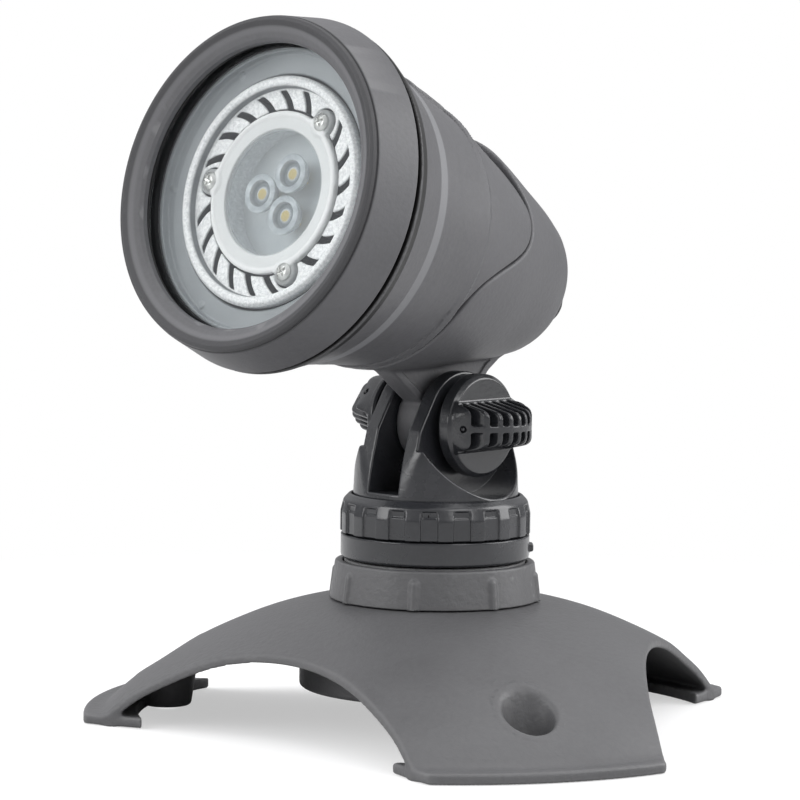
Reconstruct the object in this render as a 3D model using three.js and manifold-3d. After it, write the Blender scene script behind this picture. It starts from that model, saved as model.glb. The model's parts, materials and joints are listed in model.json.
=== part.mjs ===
// Underwater pond light: a spot head on a tilting clevis, over a three-footed base.
// Units are millimetres. Pieces are drawn from a point on the resting plane under the middle
// of the base, +Z is up, and the head faces -Y at rest. The tilt bolt lies along X. The whole
// assembly is then moved so that the origin is under the middle of its bounding box.

import * as THREE from 'three';
import { mergeVertices } from 'three/addons/utils/BufferGeometryUtils.js';
import Module from 'manifold-3d';

const wasm = await Module();
wasm.setup();

// ---------------------------------------------------------------- driving dimensions
const GAP = 0.3; // running gap between neighbouring pieces
const LARGE = 40; // facets round a large ring
const MEDIUM = 24; // facets round a medium ring
const SMALL = 16; // facets round a small ring

const BASE_RADIUS = 78;
const BASE_WALL = 2.0;
const FOOT_ANGLES = [-30, 90, 210];
const FOOT_HALF_ANGLE = 19.5;
const ARCH_NEAREST = 48.9; // distance from the middle to each arched side
const ARCH_RADIUS = 115;
const LIP_HEIGHT = 2.5;
const POCKET_CIRCLE = 61.8; // the screw pockets' distance from the middle
const POCKET_RADIUS = 6.3;
const BOSS_RADIUS = 7.6;
const SCREW_HOLE_RADIUS = 2.3;
const SKIRT_RADIUS = 30;
const SKIRT_BOTTOM = 8;
const NECK_RADIUS = 20.2;
const NECK_TOP = 36.7;
const SPIGOT_RADIUS = 15.9;

const COLLAR_BOTTOM = 27.9;
const COLLAR_TOP = 36.3;
const COLLAR_FOOT_RADIUS = 23.4;
const COLLAR_RIM_RADIUS = 22.2;
const COLLAR_RIBS = 8;

const SOCKET_RADIUS = 21.06;
const SOCKET_BOTTOM = 37.0;
const SOCKET_TOP = 42.35;
const NUT_BOTTOM = 42.65;
const NUT_TOP = 51.2;
const NUT_RADIUS = 21.2;
const NUT_FLUTES = 18;
const NUT_FLUTE_START = -12.5; // degrees from +X to the middle of a flute
const CLEVIS_RADIUS = 18.4;

const PIVOT_HEIGHT = 67.2;
const CHEEK_RADIUS = 11.7;
const CHEEK_INNER = 4.3;
const CHEEK_OUTER = 8.0;
const SLOT_FLOOR = 52.4;
const RECESS_RADIUS = 15.8;
const TONGUE_HALF_WIDTH = 3.9;
const TONGUE_RADIUS = 9.2;
const WEB_HALF_WIDTH = 2.85;
const BOLT_RADIUS = 2.5;
const BOLT_HOLE_RADIUS = 2.8;

const KNOB_RADIUS = 11.4;
const KNOB_GRIP_RADIUS = 10.4;
const KNOB_FINS = 7;
const COUNTER_KNOB_TURN = -38; // degrees that the counter knob's grip is turned

const FOOTPRINT_MIDDLE = 3.4525; // middle of the overall length, behind the middle of the base
const HEAD_CENTRE = new THREE.Vector3(0, -55.3, 119.1); // middle of the lamp's front rim
const HEAD_TILT = 13.66; // degrees that the head looks up at rest
const BEZEL_FRONT = 7.7;
const BEZEL_BACK = -3.9;
const BEZEL_FRONT_RADIUS = 35.7;
const BEZEL_BACK_RADIUS = 38.4;
const BEZEL_OPENING = 30.7;
const HOUSING_WALL = 2.3;
const HOUSING_SAG = 0.0272; // drop of the body's middle line for each millimetre backwards
const SAG_START = -8;
const PLATE_HEIGHT = 0.9; // of the raised plate on the top panel
const GLASS_RADIUS = 33.2;
const GLASS_BACK = 0.6;
const GLASS_FRONT = 3.0;

const LAMP_RADIUS = 25;
const LENS_RADIUS = 17.6;
const LENS_FRONT = -1.8;
const LENS_BACK = -3.0;
const LENS_SCREW_CIRCLE = 18.6;
const LENS_SCREW_ANGLES = [54.3, 174.3, 294.3];
const OPTIC_ANGLES = [60, 180, 300];
const LAMP_SLOT_PITCHES = 21; // three of the pitches are taken by the lens screws
const CHIP_CIRCLE = 5.2;
const GLAND_RADIUS = 6.6;
const GLAND_SIDES = 12;
const CABLE_RADIUS = 3.2;
const CABLE_DROP = -2.1; // the cable leaves on the lowered middle line of the tail

// Outline of the body as [radius, distance in front of the lamp rim]: flange, bevel, barrel, tail.
const FLANGE_CURVE = [[38.2, -4.9], [38.6, -5.3], [33.9, -16], [33.4, -18.6], [32, -25]];
const BARREL_CURVE = [[29.8, -40], [26, -55]];
const TAIL_CURVE = [[22.5, -66], [19.6, -75], [17.2, -81], [15.9, -83], [13.4, -84.9],
  [8.6, -86.9], [0, -88]];
const HOUSING_WIDENING = 0.03; // the body behind the flange is this much wider than it is high

// ---------------------------------------------------------------- colours
const finish = (color, roughness, metalness, extra = {}) =>
  new THREE.MeshStandardMaterial({ color, roughness, metalness, ...extra });
const GRAINED_GREY = () => finish(0x4a4b4d, 0.7, 0);
const GLOSSY_BLACK = () => finish(0x17181b, 0.25, 0);
const LAMP_SILVER = () => finish(0xd9dbda, 0.4, 0.6);
const STEEL = () => finish(0xb9b9b6, 0.3, 1);
const RUBBER = () => finish(0x101011, 0.8, 0);

// ---------------------------------------------------------------- solids
const radians = THREE.MathUtils.degToRad;
const turnedAbout = (axis, degrees) => new THREE.Matrix4().makeRotationAxis(axis, radians(degrees));
const X_AXIS = new THREE.Vector3(1, 0, 0);
const Z_AXIS = new THREE.Vector3(0, 0, 1);
const shifted = (x, y, z) => new THREE.Matrix4().makeTranslation(x, y, z);
const aboutZ = (degrees) => turnedAbout(Z_AXIS, degrees);

// Reads a closed geometry into a solid, facing outwards.
function solid(geometry, matrix = new THREE.Matrix4()) {
  const bare = geometry.clone().applyMatrix4(matrix);
  bare.deleteAttribute('normal');
  bare.deleteAttribute('uv');
  const merged = mergeVertices(bare, 1e-4);
  const points = merged.attributes.position.array;
  const corners = merged.index.array;
  const kept = [];
  let volume = 0;
  for (let i = 0; i < corners.length; i += 3) {
    const [a, b, c] = [corners[i], corners[i + 1], corners[i + 2]];
    if (a === b || b === c || c === a) continue;
    kept.push([a, b, c]);
    const [p, q, r] = [a, b, c].map((k) => new THREE.Vector3().fromArray(points, 3 * k));
    volume += p.dot(q.cross(r));
  }
  const facing = volume < 0 ? kept.map(([a, b, c]) => [a, c, b]) : kept;
  return new wasm.Manifold(new wasm.Mesh({
    numProp: 3,
    vertProperties: new Float32Array(points),
    triVerts: new Uint32Array(facing.flat()),
  }));
}

const joined = (first, ...others) => others.reduce((sum, other) => sum.add(other), first);
const cut = (first, ...others) => others.reduce((rest, other) => rest.subtract(other), first);

function piece(name, shape, material) {
  const result = shape.getMesh();
  const geometry = new THREE.BufferGeometry();
  geometry.setAttribute('position', new THREE.BufferAttribute(result.vertProperties, 3));
  geometry.setIndex(new THREE.BufferAttribute(result.triVerts, 1));
  geometry.computeVertexNormals();
  const mesh = new THREE.Mesh(geometry, material);
  mesh.name = name;
  return mesh;
}

// A body of revolution about +Z. The profile's points are [radius, height].
function latheGeometry(profile, segments) {
  const touchesAxis = profile[0][0] === 0 && profile[profile.length - 1][0] === 0;
  const outline = touchesAxis ? profile : [...profile, profile[0]];
  const points = outline.map(([r, z]) => new THREE.Vector2(r, z));
  return new THREE.LatheGeometry(points, segments).rotateX(Math.PI / 2);
}
const lathe = (profile, segments, matrix) => solid(latheGeometry(profile, segments), matrix);
const ring = (inner, outer, low, high, segments, matrix) =>
  lathe([[inner, low], [outer, low], [outer, high], [inner, high]], segments, matrix);
const disc = (radius, low, high, segments, matrix) =>
  lathe([[0, low], [radius, low], [radius, high], [0, high]], segments, matrix);
const taper = (lowRadius, low, highRadius, high, segments, matrix) =>
  lathe([[0, low], [lowRadius, low], [highRadius, high], [0, high]], segments, matrix);

function box(xs, ys, zs, matrix = new THREE.Matrix4()) {
  const middle = [xs, ys, zs].map(([low, high]) => (low + high) / 2);
  const geometry = new THREE.BoxGeometry(xs[1] - xs[0], ys[1] - ys[0], zs[1] - zs[0]);
  return solid(geometry, matrix.clone().multiply(shifted(...middle)));
}

const shapeOf = (points) => new THREE.Shape(points.map(([u, v]) => new THREE.Vector2(u, v)));
const prism = (shape, low, high, matrix = new THREE.Matrix4()) => solid(
  new THREE.ExtrudeGeometry(shape, { depth: high - low, bevelEnabled: false, curveSegments: 6 }),
  matrix.clone().multiply(shifted(0, 0, low)),
);

// Turns drawing axes u, v and depth into Y, Z and X, for an outline seen from the side.
const SIDE_VIEW = new THREE.Matrix4().makeBasis(
  new THREE.Vector3(0, 1, 0), new THREE.Vector3(0, 0, 1), X_AXIS,
);
const sidePrism = (shape, low, high, matrix = new THREE.Matrix4()) =>
  prism(shape, low, high, matrix.clone().multiply(SIDE_VIEW));

// Turns the lathe axis +Z into +X through the tilt pivot.
const ON_PIVOT = shifted(0, 0, PIVOT_HEIGHT)
  .multiply(new THREE.Matrix4().makeRotationY(Math.PI / 2));

// ---------------------------------------------------------------- head frame
// The head's pieces are drawn about the lamp axis: +Z forwards, +Y up, +X to the side.
const headGroup = new THREE.Group();
headGroup.position.copy(HEAD_CENTRE);
headGroup.rotation.x = radians(90 - HEAD_TILT);
headGroup.updateMatrix();
const toHead = headGroup.matrix.clone().invert();

// ---------------------------------------------------------------- base
const DOME_TOP = [[23.4, 27.6], [30, 26.6], [38, 24.3], [46.1, 21], [54, 17.1],
  [61.3, 12.4], [67.5, 8.2], [72, 4.2], [72.6, LIP_HEIGHT]];

function archCutter(angle) {
  const half = 45;
  const shape = new THREE.Shape();
  const far = BASE_RADIUS + 20;
  const steps = 8;
  shape.moveTo(far, -half - 13);
  shape.lineTo(61.2, -half - 13);
  for (let i = 0; i <= steps; i += 1) {
    const across = -half + (2 * half * i) / steps;
    const sagitta = ARCH_RADIUS - Math.sqrt(ARCH_RADIUS ** 2 - across ** 2);
    shape.lineTo(ARCH_NEAREST + sagitta, across);
  }
  shape.lineTo(61.2, half + 13);
  shape.lineTo(far, half + 13);
  shape.closePath();
  return prism(shape, -5, 40, aboutZ(angle));
}

function footBoss(angle) {
  const place = aboutZ(angle).multiply(shifted(POCKET_CIRCLE, 0, 0));
  const bottom = 0.8;
  const top = 25;
  const underDome = lathe([[0, 0], [BASE_RADIUS, 0], ...DOME_TOP.slice().reverse(), [0, 27.6]], LARGE);
  const post = lathe([[0, bottom], [5.4, bottom], [6.4, 1.9], [BOSS_RADIUS, 14], [BOSS_RADIUS, top],
    [0, top]], SMALL, place);
  return post.intersect(underDome);
}

function footPocket(angle) {
  const place = aboutZ(angle).multiply(shifted(POCKET_CIRCLE, 0, 0));
  const floor = 3.2;
  const cone = taper(4.2, floor, POCKET_RADIUS + 0.9, 20, SMALL, place);
  return joined(cone, disc(SCREW_HOLE_RADIUS, -1, floor + 1, SMALL, place));
}

function basePlate() {
  const bore = SPIGOT_RADIUS + GAP;
  const underside = DOME_TOP.slice(2, -1).map(([r, z]) => [r - 0.6, z - BASE_WALL]).reverse();
  const shell = lathe([
    [bore, NECK_TOP], [NECK_RADIUS, NECK_TOP], [NECK_RADIUS, 27.9],
    ...DOME_TOP, [BASE_RADIUS - 0.6, LIP_HEIGHT], [BASE_RADIUS, LIP_HEIGHT - 0.6],
    [BASE_RADIUS, 0], [71, 0], ...underside, [SKIRT_RADIUS, 24.2], [SKIRT_RADIUS, SKIRT_BOTTOM],
    [SKIRT_RADIUS - BASE_WALL, SKIRT_BOTTOM], [SKIRT_RADIUS - BASE_WALL, 24.8], [bore, 24.8],
  ], LARGE);
  const bosses = FOOT_ANGLES.map(footBoss);
  const arches = FOOT_ANGLES.map((angle) => archCutter(angle + 60));
  const pockets = FOOT_ANGLES.map(footPocket);
  return cut(joined(shell, ...bosses), ...arches, ...pockets);
}

function socketCollar() {
  const bore = NECK_RADIUS + GAP;
  const rimEdge = 0.6;
  const body = lathe([
    [bore, COLLAR_BOTTOM], [COLLAR_FOOT_RADIUS, COLLAR_BOTTOM],
    [COLLAR_RIM_RADIUS, COLLAR_TOP - rimEdge], [COLLAR_RIM_RADIUS - rimEdge, COLLAR_TOP],
    [bore, COLLAR_TOP],
  ], LARGE);
  const ribs = [];
  for (let i = 0; i < COLLAR_RIBS; i += 1) {
    const place = aboutZ(30 + (360 / COLLAR_RIBS) * i);
    ribs.push(taper(
      1.1, COLLAR_BOTTOM, 0.9, COLLAR_TOP - 2, 8,
      place.multiply(shifted(COLLAR_FOOT_RADIUS - 0.5, 0, 0)).multiply(leanIn()),
    ));
  }
  return joined(body, ...ribs);
}

// Leans a rib so that it follows the collar's slope.
function leanIn() {
  const slope = (COLLAR_FOOT_RADIUS - COLLAR_RIM_RADIUS) / (COLLAR_TOP - COLLAR_BOTTOM);
  const lean = new THREE.Matrix4().makeRotationY(-Math.atan(slope));
  return shifted(0, 0, COLLAR_BOTTOM).multiply(lean).multiply(shifted(0, 0, -COLLAR_BOTTOM));
}

const NECK_OF_SOCKET = 19.6;
const SOCKET_NECK_TOP = 45.3;

function swivelSocket() {
  const bore = 12.5;
  const body = lathe([
    [bore, 27.5], [SPIGOT_RADIUS, 27.5], [SPIGOT_RADIUS, SOCKET_BOTTOM],
    [SOCKET_RADIUS, SOCKET_BOTTOM], [SOCKET_RADIUS, SOCKET_TOP], [NECK_OF_SOCKET, SOCKET_TOP],
    [NECK_OF_SOCKET, SOCKET_NECK_TOP], [bore, SOCKET_NECK_TOP],
  ], LARGE);
  const lug = box([SOCKET_RADIUS - 1, SOCKET_RADIUS + 0.9], [-1.6, 1.6], [38.4, 40.2], aboutZ(42));
  return joined(body, lug);
}

const frictionRing = () => ring(13, 19.4, SOCKET_NECK_TOP + 0.2, 46.5, MEDIUM);

function unionNut() {
  const bore = 20.0;
  const lip = CLEVIS_RADIUS + GAP;
  const body = lathe([
    [bore, NUT_BOTTOM], [NUT_RADIUS, NUT_BOTTOM], [NUT_RADIUS, 47.6], [20.8, 49.4],
    [19.9, 50.7], [lip + 0.3, NUT_TOP], [lip, NUT_TOP], [lip, 48.9], [bore, 48.9],
  ], 3 * NUT_FLUTES);
  const flutes = [];
  for (let i = 0; i < NUT_FLUTES; i += 1) {
    const place = aboutZ(NUT_FLUTE_START + (360 / NUT_FLUTES) * i);
    flutes.push(box([NUT_RADIUS - 0.5, 24], [-1.85, 1.85], [NUT_BOTTOM - 1, 49.0], place));
  }
  return cut(body, ...flutes);
}

// ---------------------------------------------------------------- clevis and clamp
function cheekOutline() {
  const shape = new THREE.Shape();
  const top = radians(148);
  shape.moveTo(-CLEVIS_RADIUS, 49);
  shape.lineTo(-18.1, 51.8);
  shape.lineTo(-16.1, 60.4);
  shape.lineTo(-14.4, 66.3);
  for (let i = 0; i <= 14; i += 1) {
    const angle = top + (Math.PI - 2 * top) * (i / 14);
    shape.lineTo(CHEEK_RADIUS * Math.cos(angle), PIVOT_HEIGHT + CHEEK_RADIUS * Math.sin(angle));
  }
  shape.lineTo(14.4, 66.3);
  shape.lineTo(16.1, 60.4);
  shape.lineTo(18.1, 51.8);
  shape.lineTo(CLEVIS_RADIUS, 49);
  shape.closePath();
  return shape;
}

function clevis() {
  const flange = 19.7;
  const foot = lathe([
    [0, 46.8], [flange, 46.8], [flange, 48.6], [CLEVIS_RADIUS, 48.6], [CLEVIS_RADIUS, 52],
    [16.9, 80], [0, 80],
  ], LARGE);
  const outline = joined(
    sidePrism(cheekOutline(), -CLEVIS_RADIUS, CLEVIS_RADIUS),
    disc(flange, 46.8, 49.5, LARGE),
  );
  const slot = box([-CHEEK_INNER, CHEEK_INNER], [-30, 30], [SLOT_FLOOR, 90]);
  const recess = disc(RECESS_RADIUS, CHEEK_OUTER, 30, MEDIUM, ON_PIVOT);
  const mirrored = disc(RECESS_RADIUS, -30, -CHEEK_OUTER, MEDIUM, ON_PIVOT);
  const above = [
    box([CHEEK_OUTER, 30], [-30, 30], [PIVOT_HEIGHT - 4.6, 90]),
    box([-30, -CHEEK_OUTER], [-30, 30], [PIVOT_HEIGHT - 4.6, 90]),
  ];
  const hole = disc(BOLT_HOLE_RADIUS, -12, 12, SMALL, ON_PIVOT);
  return cut(foot.intersect(outline), slot, recess, mirrored, ...above, hole);
}

// One plate of the knob's grip, in the plane of the knob's axis; u is along the axis.
function finShape(reach) {
  const shape = new THREE.Shape();
  const root = 5.6;
  const tip = 3.4;
  shape.moveTo(0, -root);
  shape.lineTo(reach - 2, -tip);
  shape.quadraticCurveTo(reach, -tip, reach, -tip + 2);
  shape.lineTo(reach, tip - 2);
  shape.quadraticCurveTo(reach, tip, reach - 2, tip);
  shape.lineTo(0, root);
  shape.closePath();
  return shape;
}

// A knob on the +X side: a flat disc with a half-round finned grip across it.
function knobSolid(faceFrom, faceTo) {
  const edge = 0.6;
  const rim = lathe([
    [0, faceFrom], [KNOB_RADIUS, faceFrom], [KNOB_RADIUS, faceTo - edge],
    [KNOB_RADIUS - edge, faceTo], [0, faceTo],
  ], MEDIUM, ON_PIVOT);
  const centre = faceTo - 0.5;
  const parts = [];
  const web = 0.7;
  const semicircle = new THREE.Shape();
  semicircle.absarc(0, 0, KNOB_GRIP_RADIUS, -Math.PI / 2, Math.PI / 2, false);
  semicircle.closePath();
  parts.push(prism(semicircle, -web, web, shifted(centre, 0, PIVOT_HEIGHT)));
  const upright = new THREE.Matrix4().makeRotationX(Math.PI / 2);
  for (let i = 0; i < KNOB_FINS; i += 1) {
    const y = -7.2 + (14.4 * i) / (KNOB_FINS - 1);
    const reach = Math.sqrt(KNOB_GRIP_RADIUS ** 2 - y ** 2);
    const place = shifted(centre, y, PIVOT_HEIGHT).multiply(upright);
    parts.push(prism(finShape(reach), -0.5, 0.5, place));
  }
  return joined(rim, ...parts);
}

const aboutPivot = (degrees) => shifted(0, 0, PIVOT_HEIGHT)
  .multiply(turnedAbout(X_AXIS, degrees)).multiply(shifted(0, 0, -PIVOT_HEIGHT));
const HALF_TURN = aboutZ(180);

function moved(shape, matrix) {
  const result = shape.getMesh();
  const geometry = new THREE.BufferGeometry();
  geometry.setAttribute('position', new THREE.BufferAttribute(result.vertProperties, 3));
  geometry.setIndex(new THREE.BufferAttribute(result.triVerts, 1));
  return solid(geometry, matrix);
}

const CLAMP_FACE_FROM = 10.2;
const CLAMP_FACE_TO = 14.0;
const COUNTER_FACE_FROM = 8.9;
const COUNTER_FACE_TO = 11.3;
const HEX = 6;

function clampKnob() {
  const pocket = disc(4.6, CLAMP_FACE_FROM - 1, 12.9, HEX, ON_PIVOT);
  return cut(knobSolid(CLAMP_FACE_FROM, CLAMP_FACE_TO), pocket);
}

function clampNut() {
  const body = disc(4.3, CLAMP_FACE_FROM + 0.1, 12.6, HEX, ON_PIVOT);
  return cut(body, disc(BOLT_RADIUS + 0.15, 9, 14, SMALL, ON_PIVOT));
}

function counterKnob() {
  const plain = knobSolid(COUNTER_FACE_FROM, COUNTER_FACE_TO);
  const pocket = disc(4.6, COUNTER_FACE_FROM - 1, 10.5, HEX, ON_PIVOT);
  return moved(cut(plain, pocket), aboutPivot(COUNTER_KNOB_TURN).multiply(HALF_TURN));
}

function tiltBolt() {
  const head = disc(4.3, -10.2, -9.0, HEX, aboutPivot(COUNTER_KNOB_TURN).multiply(ON_PIVOT));
  return joined(head, disc(BOLT_RADIUS, -9.5, 12.4, SMALL, ON_PIVOT));
}

const knobWasher = () => ring(
  BOLT_HOLE_RADIUS, 5.6, CHEEK_OUTER + 0.2, CLAMP_FACE_FROM - GAP, SMALL, ON_PIVOT,
);
const boltWasher = () => ring(
  BOLT_HOLE_RADIUS, 5.6, -COUNTER_FACE_FROM + 0.2, -CHEEK_OUTER - 0.2, SMALL, ON_PIVOT,
);

// ---------------------------------------------------------------- head shells
// Drops and widens the body behind the flange, so that it runs fuller below and at the sides.
function sagged(geometry) {
  const position = geometry.attributes.position;
  for (let i = 0; i < position.count; i += 1) {
    const behind = Math.max(0, SAG_START - position.getZ(i));
    position.setY(i, position.getY(i) - HOUSING_SAG * behind);
    position.setX(i, position.getX(i) * (1 + HOUSING_WIDENING * Math.min(1, behind / 15)));
  }
  return geometry;
}
const saggedLathe = (profile, segments) => solid(sagged(latheGeometry(profile, segments)));

// The joint between front housing and rear cover: its distance behind the lamp rim at an
// angle from the top. It is far back over the top and sides and far forward underneath.
function seamAt(angle) {
  const away = Math.abs(angle);
  const dip = -6.3 / (1 + Math.exp(-(away - 56) / 5));
  const forward = 21.8 / (1 + Math.exp(-(away - 100) / 6.5));
  return -52.5 + dip + forward;
}

function seamCutter(offset) {
  const reach = 50;
  const floor = -57;
  const geometry = latheGeometry([[0, 30], [reach, 30], [reach, floor], [0, floor]], LARGE);
  const position = geometry.attributes.position;
  for (let i = 0; i < position.count; i += 1) {
    const [x, y, z] = [position.getX(i), position.getY(i), position.getZ(i)];
    if (z > 0 || Math.hypot(x, y) < 1) continue;
    position.setZ(i, seamAt(THREE.MathUtils.radToDeg(Math.atan2(x, y))) + offset);
  }
  return solid(geometry);
}

// Sections of the flatter top panel: [distance in front of the lamp rim, centre height, radius].
const TOP_PANEL = [
  [-62, -8.4, 27.9], [-55, -7.2, 29.4], [-48, -6.2, 30.8], [-40, -4.7, 32.2], [-33, -3.4, 32.8],
  [-25, -2.7, 33.8], [-18, -2.0, 34.8], [-8, -0.7, 37.5], [-5, -0.7, 38.8], [12, -0.7, 44.8],
];

// The room under the top panel, reduced by a depth.
function underTopPanel(depth) {
  const [back, front] = [TOP_PANEL[0][0], TOP_PANEL[TOP_PANEL.length - 1][0]];
  const sides = TOP_PANEL.map(([z, , radius]) => [radius - depth, z]);
  const geometry = latheGeometry([[0, back], ...sides, [0, front]], LARGE);
  const position = geometry.attributes.position;
  for (let i = 0; i < position.count; i += 1) {
    const [, centre] = TOP_PANEL.find(([z]) => Math.abs(z - position.getZ(i)) < 0.01);
    position.setY(i, position.getY(i) + centre);
  }
  return solid(geometry);
}

const NECK_OF_HOUSING = 34.2;
const INNER_SLEEVE = 20.6;
const SEAL_GROOVE = [-60.6, -57.8];

function frontHousing() {
  const rear = TAIL_CURVE[0];
  const outside = saggedLathe([
    [0, -0.6], [NECK_OF_HOUSING, -0.6], [NECK_OF_HOUSING, FLANGE_CURVE[0][1]],
    ...FLANGE_CURVE, ...BARREL_CURVE, rear, [0, rear[1]],
  ], LARGE);
  const inner = [...BARREL_CURVE, rear].map(([r, z]) => [r - HOUSING_WALL, z]);
  const inside = saggedLathe([
    [0, 1], [31.2, 1], [31.2, -16], [32 - HOUSING_WALL, -25], ...inner, [0, rear[1]],
  ], LARGE);
  const skin = cut(outside.intersect(underTopPanel(0)), inside.intersect(underTopPanel(HOUSING_WALL)));
  const sleeve = saggedLathe([
    [18.8, -62], [INNER_SLEEVE, -62], [INNER_SLEEVE, SEAL_GROOVE[0]], [20.1, SEAL_GROOVE[0]],
    [20.1, SEAL_GROOVE[1]], [INNER_SLEEVE, SEAL_GROOVE[1]], [INNER_SLEEVE, -36.4],
    [29.2, -36.4], [29.2, -34.4], [18.8, -34.4],
  ], MEDIUM);
  return joined(
    skin.intersect(seamCutter(0.2)), sleeve, topPlate(),
  );
}

// Raised plate on the top panel, drawn from above: u sideways, v backwards.
function topPlate() {
  const half = 15;
  const corner = 1.5;
  const [front, back] = [22, 35];
  const shape = new THREE.Shape();
  shape.moveTo(-half, front);
  shape.lineTo(half, front);
  shape.lineTo(half, back - corner);
  shape.quadraticCurveTo(half, back, half - corner, back);
  shape.lineTo(-half + corner, back);
  shape.quadraticCurveTo(-half, back, -half, back - corner);
  shape.closePath();
  const above = prism(shape, 20, 35, new THREE.Matrix4().makeRotationX(-Math.PI / 2));
  return cut(above.intersect(underTopPanel(-PLATE_HEIGHT)), underTopPanel(1));
}

function bracketWeb() {
  const web = shapeOf([
    [-7.2, PIVOT_HEIGHT + 3.5], [-8.2, 72.1], [-17.7, 79.1], [-21.5, 81.8], [-21.5, 86],
    [22, 86], [20.6, 82.6], [14.6, 78.3], [8.6, 72.1], [7.2, PIVOT_HEIGHT + 3.5],
  ]);
  const webSolid = sidePrism(web, -WEB_HALF_WIDTH, WEB_HALF_WIDTH, toHead);
  const onPivotInHead = toHead.clone().multiply(ON_PIVOT);
  const tongue = disc(TONGUE_RADIUS, -TONGUE_HALF_WIDTH, TONGUE_HALF_WIDTH, MEDIUM, onPivotInHead);
  return joined(webSolid, tongue);
}

function rearCover() {
  const start = [31, -33];
  const curve = [...BARREL_CURVE, ...TAIL_CURVE];
  const outside = saggedLathe([[0, start[1]], start, ...curve], LARGE);
  const inner = curve.slice(0, -3).map(([r, z]) => [r - HOUSING_WALL, z + 0.4]);
  const cavity = saggedLathe(
    [[0, start[1] + 1], [start[0] - HOUSING_WALL, start[1] + 1], ...inner, [0, -85.2]], MEDIUM,
  );
  const onPivotInHead = toHead.clone().multiply(ON_PIVOT);
  const boltHole = disc(BOLT_HOLE_RADIUS, -12, 12, SMALL, onPivotInHead);
  const cableHole = disc(4.6, -92, -80, SMALL, shifted(0, CABLE_DROP, 0));
  return cut(joined(outside, bracketWeb()), cavity, seamCutter(-0.2), boltHole, cableHole);
}

const housingSeal = () => saggedLathe([
  [20.35, SEAL_GROOVE[0] + GAP], [21.5, SEAL_GROOVE[0] + GAP],
  [21.5, SEAL_GROOVE[1] - GAP], [20.35, SEAL_GROOVE[1] - GAP],
], MEDIUM);

const bezelRing = () => lathe([
  [34.6, BEZEL_BACK], [BEZEL_BACK_RADIUS - 0.4, BEZEL_BACK], [BEZEL_BACK_RADIUS, BEZEL_BACK + 0.5],
  [36.1, 6.6], [BEZEL_FRONT_RADIUS, BEZEL_FRONT - 0.3], [35.2, BEZEL_FRONT],
  [34.6, BEZEL_FRONT], [33.9, 6.4], [31.6, 5.6], [BEZEL_OPENING, 4.6], [BEZEL_OPENING, 3.9],
  [34.6, 3.9],
], LARGE);

const glassGasket = () => lathe([
  [31.0, -0.3], [34.2, -0.3], [34.2, 3.6], [31.0, 3.6], [31.0, GLASS_FRONT + 0.15],
  [GLASS_RADIUS + 0.3, GLASS_FRONT + 0.15], [GLASS_RADIUS + 0.3, GLASS_BACK - 0.15],
  [31.0, GLASS_BACK - 0.15],
], LARGE);

const frontGlass = () => disc(GLASS_RADIUS, GLASS_BACK, GLASS_FRONT, LARGE);

const lampRetainer = () => lathe([
  [25.5, -2.7], [28.8, -2.7], [28.8, -12], [30.7, -12], [30.7, 0.3], [30.2, 0.3],
  [30.2, -1.5], [25.5, -1.5],
], LARGE);

// ---------------------------------------------------------------- lamp
const atLampAngle = (angle, radius) =>
  shifted(radius * Math.cos(radians(angle)), radius * Math.sin(radians(angle)), 0);

// A slanted, slightly curved cooling slot across the lamp's ring.
function coolingSlot(angle) {
  const slant = 11;
  const width = 4.1;
  const corners = [];
  for (const [radius, side] of [[18.3, -1], [19.7, -1], [21.2, -1], [21.2, 1], [19.7, 1], [18.3, 1]]) {
    const lean = (slant * (radius - 18.3)) / 2.9;
    const at = radians(angle + lean + side * width);
    corners.push([radius * Math.cos(at), radius * Math.sin(at)]);
  }
  return prism(shapeOf(corners), -7, -2);
}

function lampHeatSink() {
  const body = lathe([
    [0, -34], [11, -34], [22.6, -6.5], [24.4, -3.4], [LAMP_RADIUS, -2.4], [LAMP_RADIUS, -0.4],
    [24.6, 0], [23.1, 0], [22.7, -0.4], [22.7, -1.4], [21.5, -1.4], [21.5, LENS_BACK - GAP],
    [16.6, LENS_BACK - GAP], [16.6, -9.4], [0, -9.4],
  ], MEDIUM);
  const slots = [];
  for (let i = 0; i < LAMP_SLOT_PITCHES; i += 1) {
    const angle = LENS_SCREW_ANGLES[0] + (360 / LAMP_SLOT_PITCHES) * i;
    if (i % (LAMP_SLOT_PITCHES / 3) !== 0) slots.push(coolingSlot(angle - 1.4));
  }
  const holes = LENS_SCREW_ANGLES.map((angle) =>
    disc(1.2, -8, 0, 12, atLampAngle(angle, LENS_SCREW_CIRCLE)));
  return cut(body, ...slots, ...holes);
}

function lampLens() {
  const body = disc(LENS_RADIUS, LENS_BACK, LENS_FRONT, MEDIUM);
  const ears = LENS_SCREW_ANGLES.map((angle) =>
    disc(2.7, LENS_BACK, LENS_FRONT, SMALL, atLampAngle(angle, LENS_SCREW_CIRCLE)));
  const holes = LENS_SCREW_ANGLES.map((angle) =>
    disc(1.2, -8, 0, 12, atLampAngle(angle, LENS_SCREW_CIRCLE)));
  return cut(joined(body, ...ears), ...holes);
}

function lensScrew(angle) {
  const place = atLampAngle(angle, LENS_SCREW_CIRCLE);
  const body = lathe([
    [0, -6.8], [0.9, -6.8], [0.9, -1.5], [2.0, -1.5], [2.0, -1.0], [1.3, -0.5], [0, -0.5],
  ], SMALL, place);
  const arms = [0, 90].map((turn) => box(
    [-1.1, 1.1], [-0.25, 0.25], [-1.0, 0], place.clone().multiply(aboutZ(turn + 25)),
  ));
  return cut(body, ...arms);
}

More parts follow.
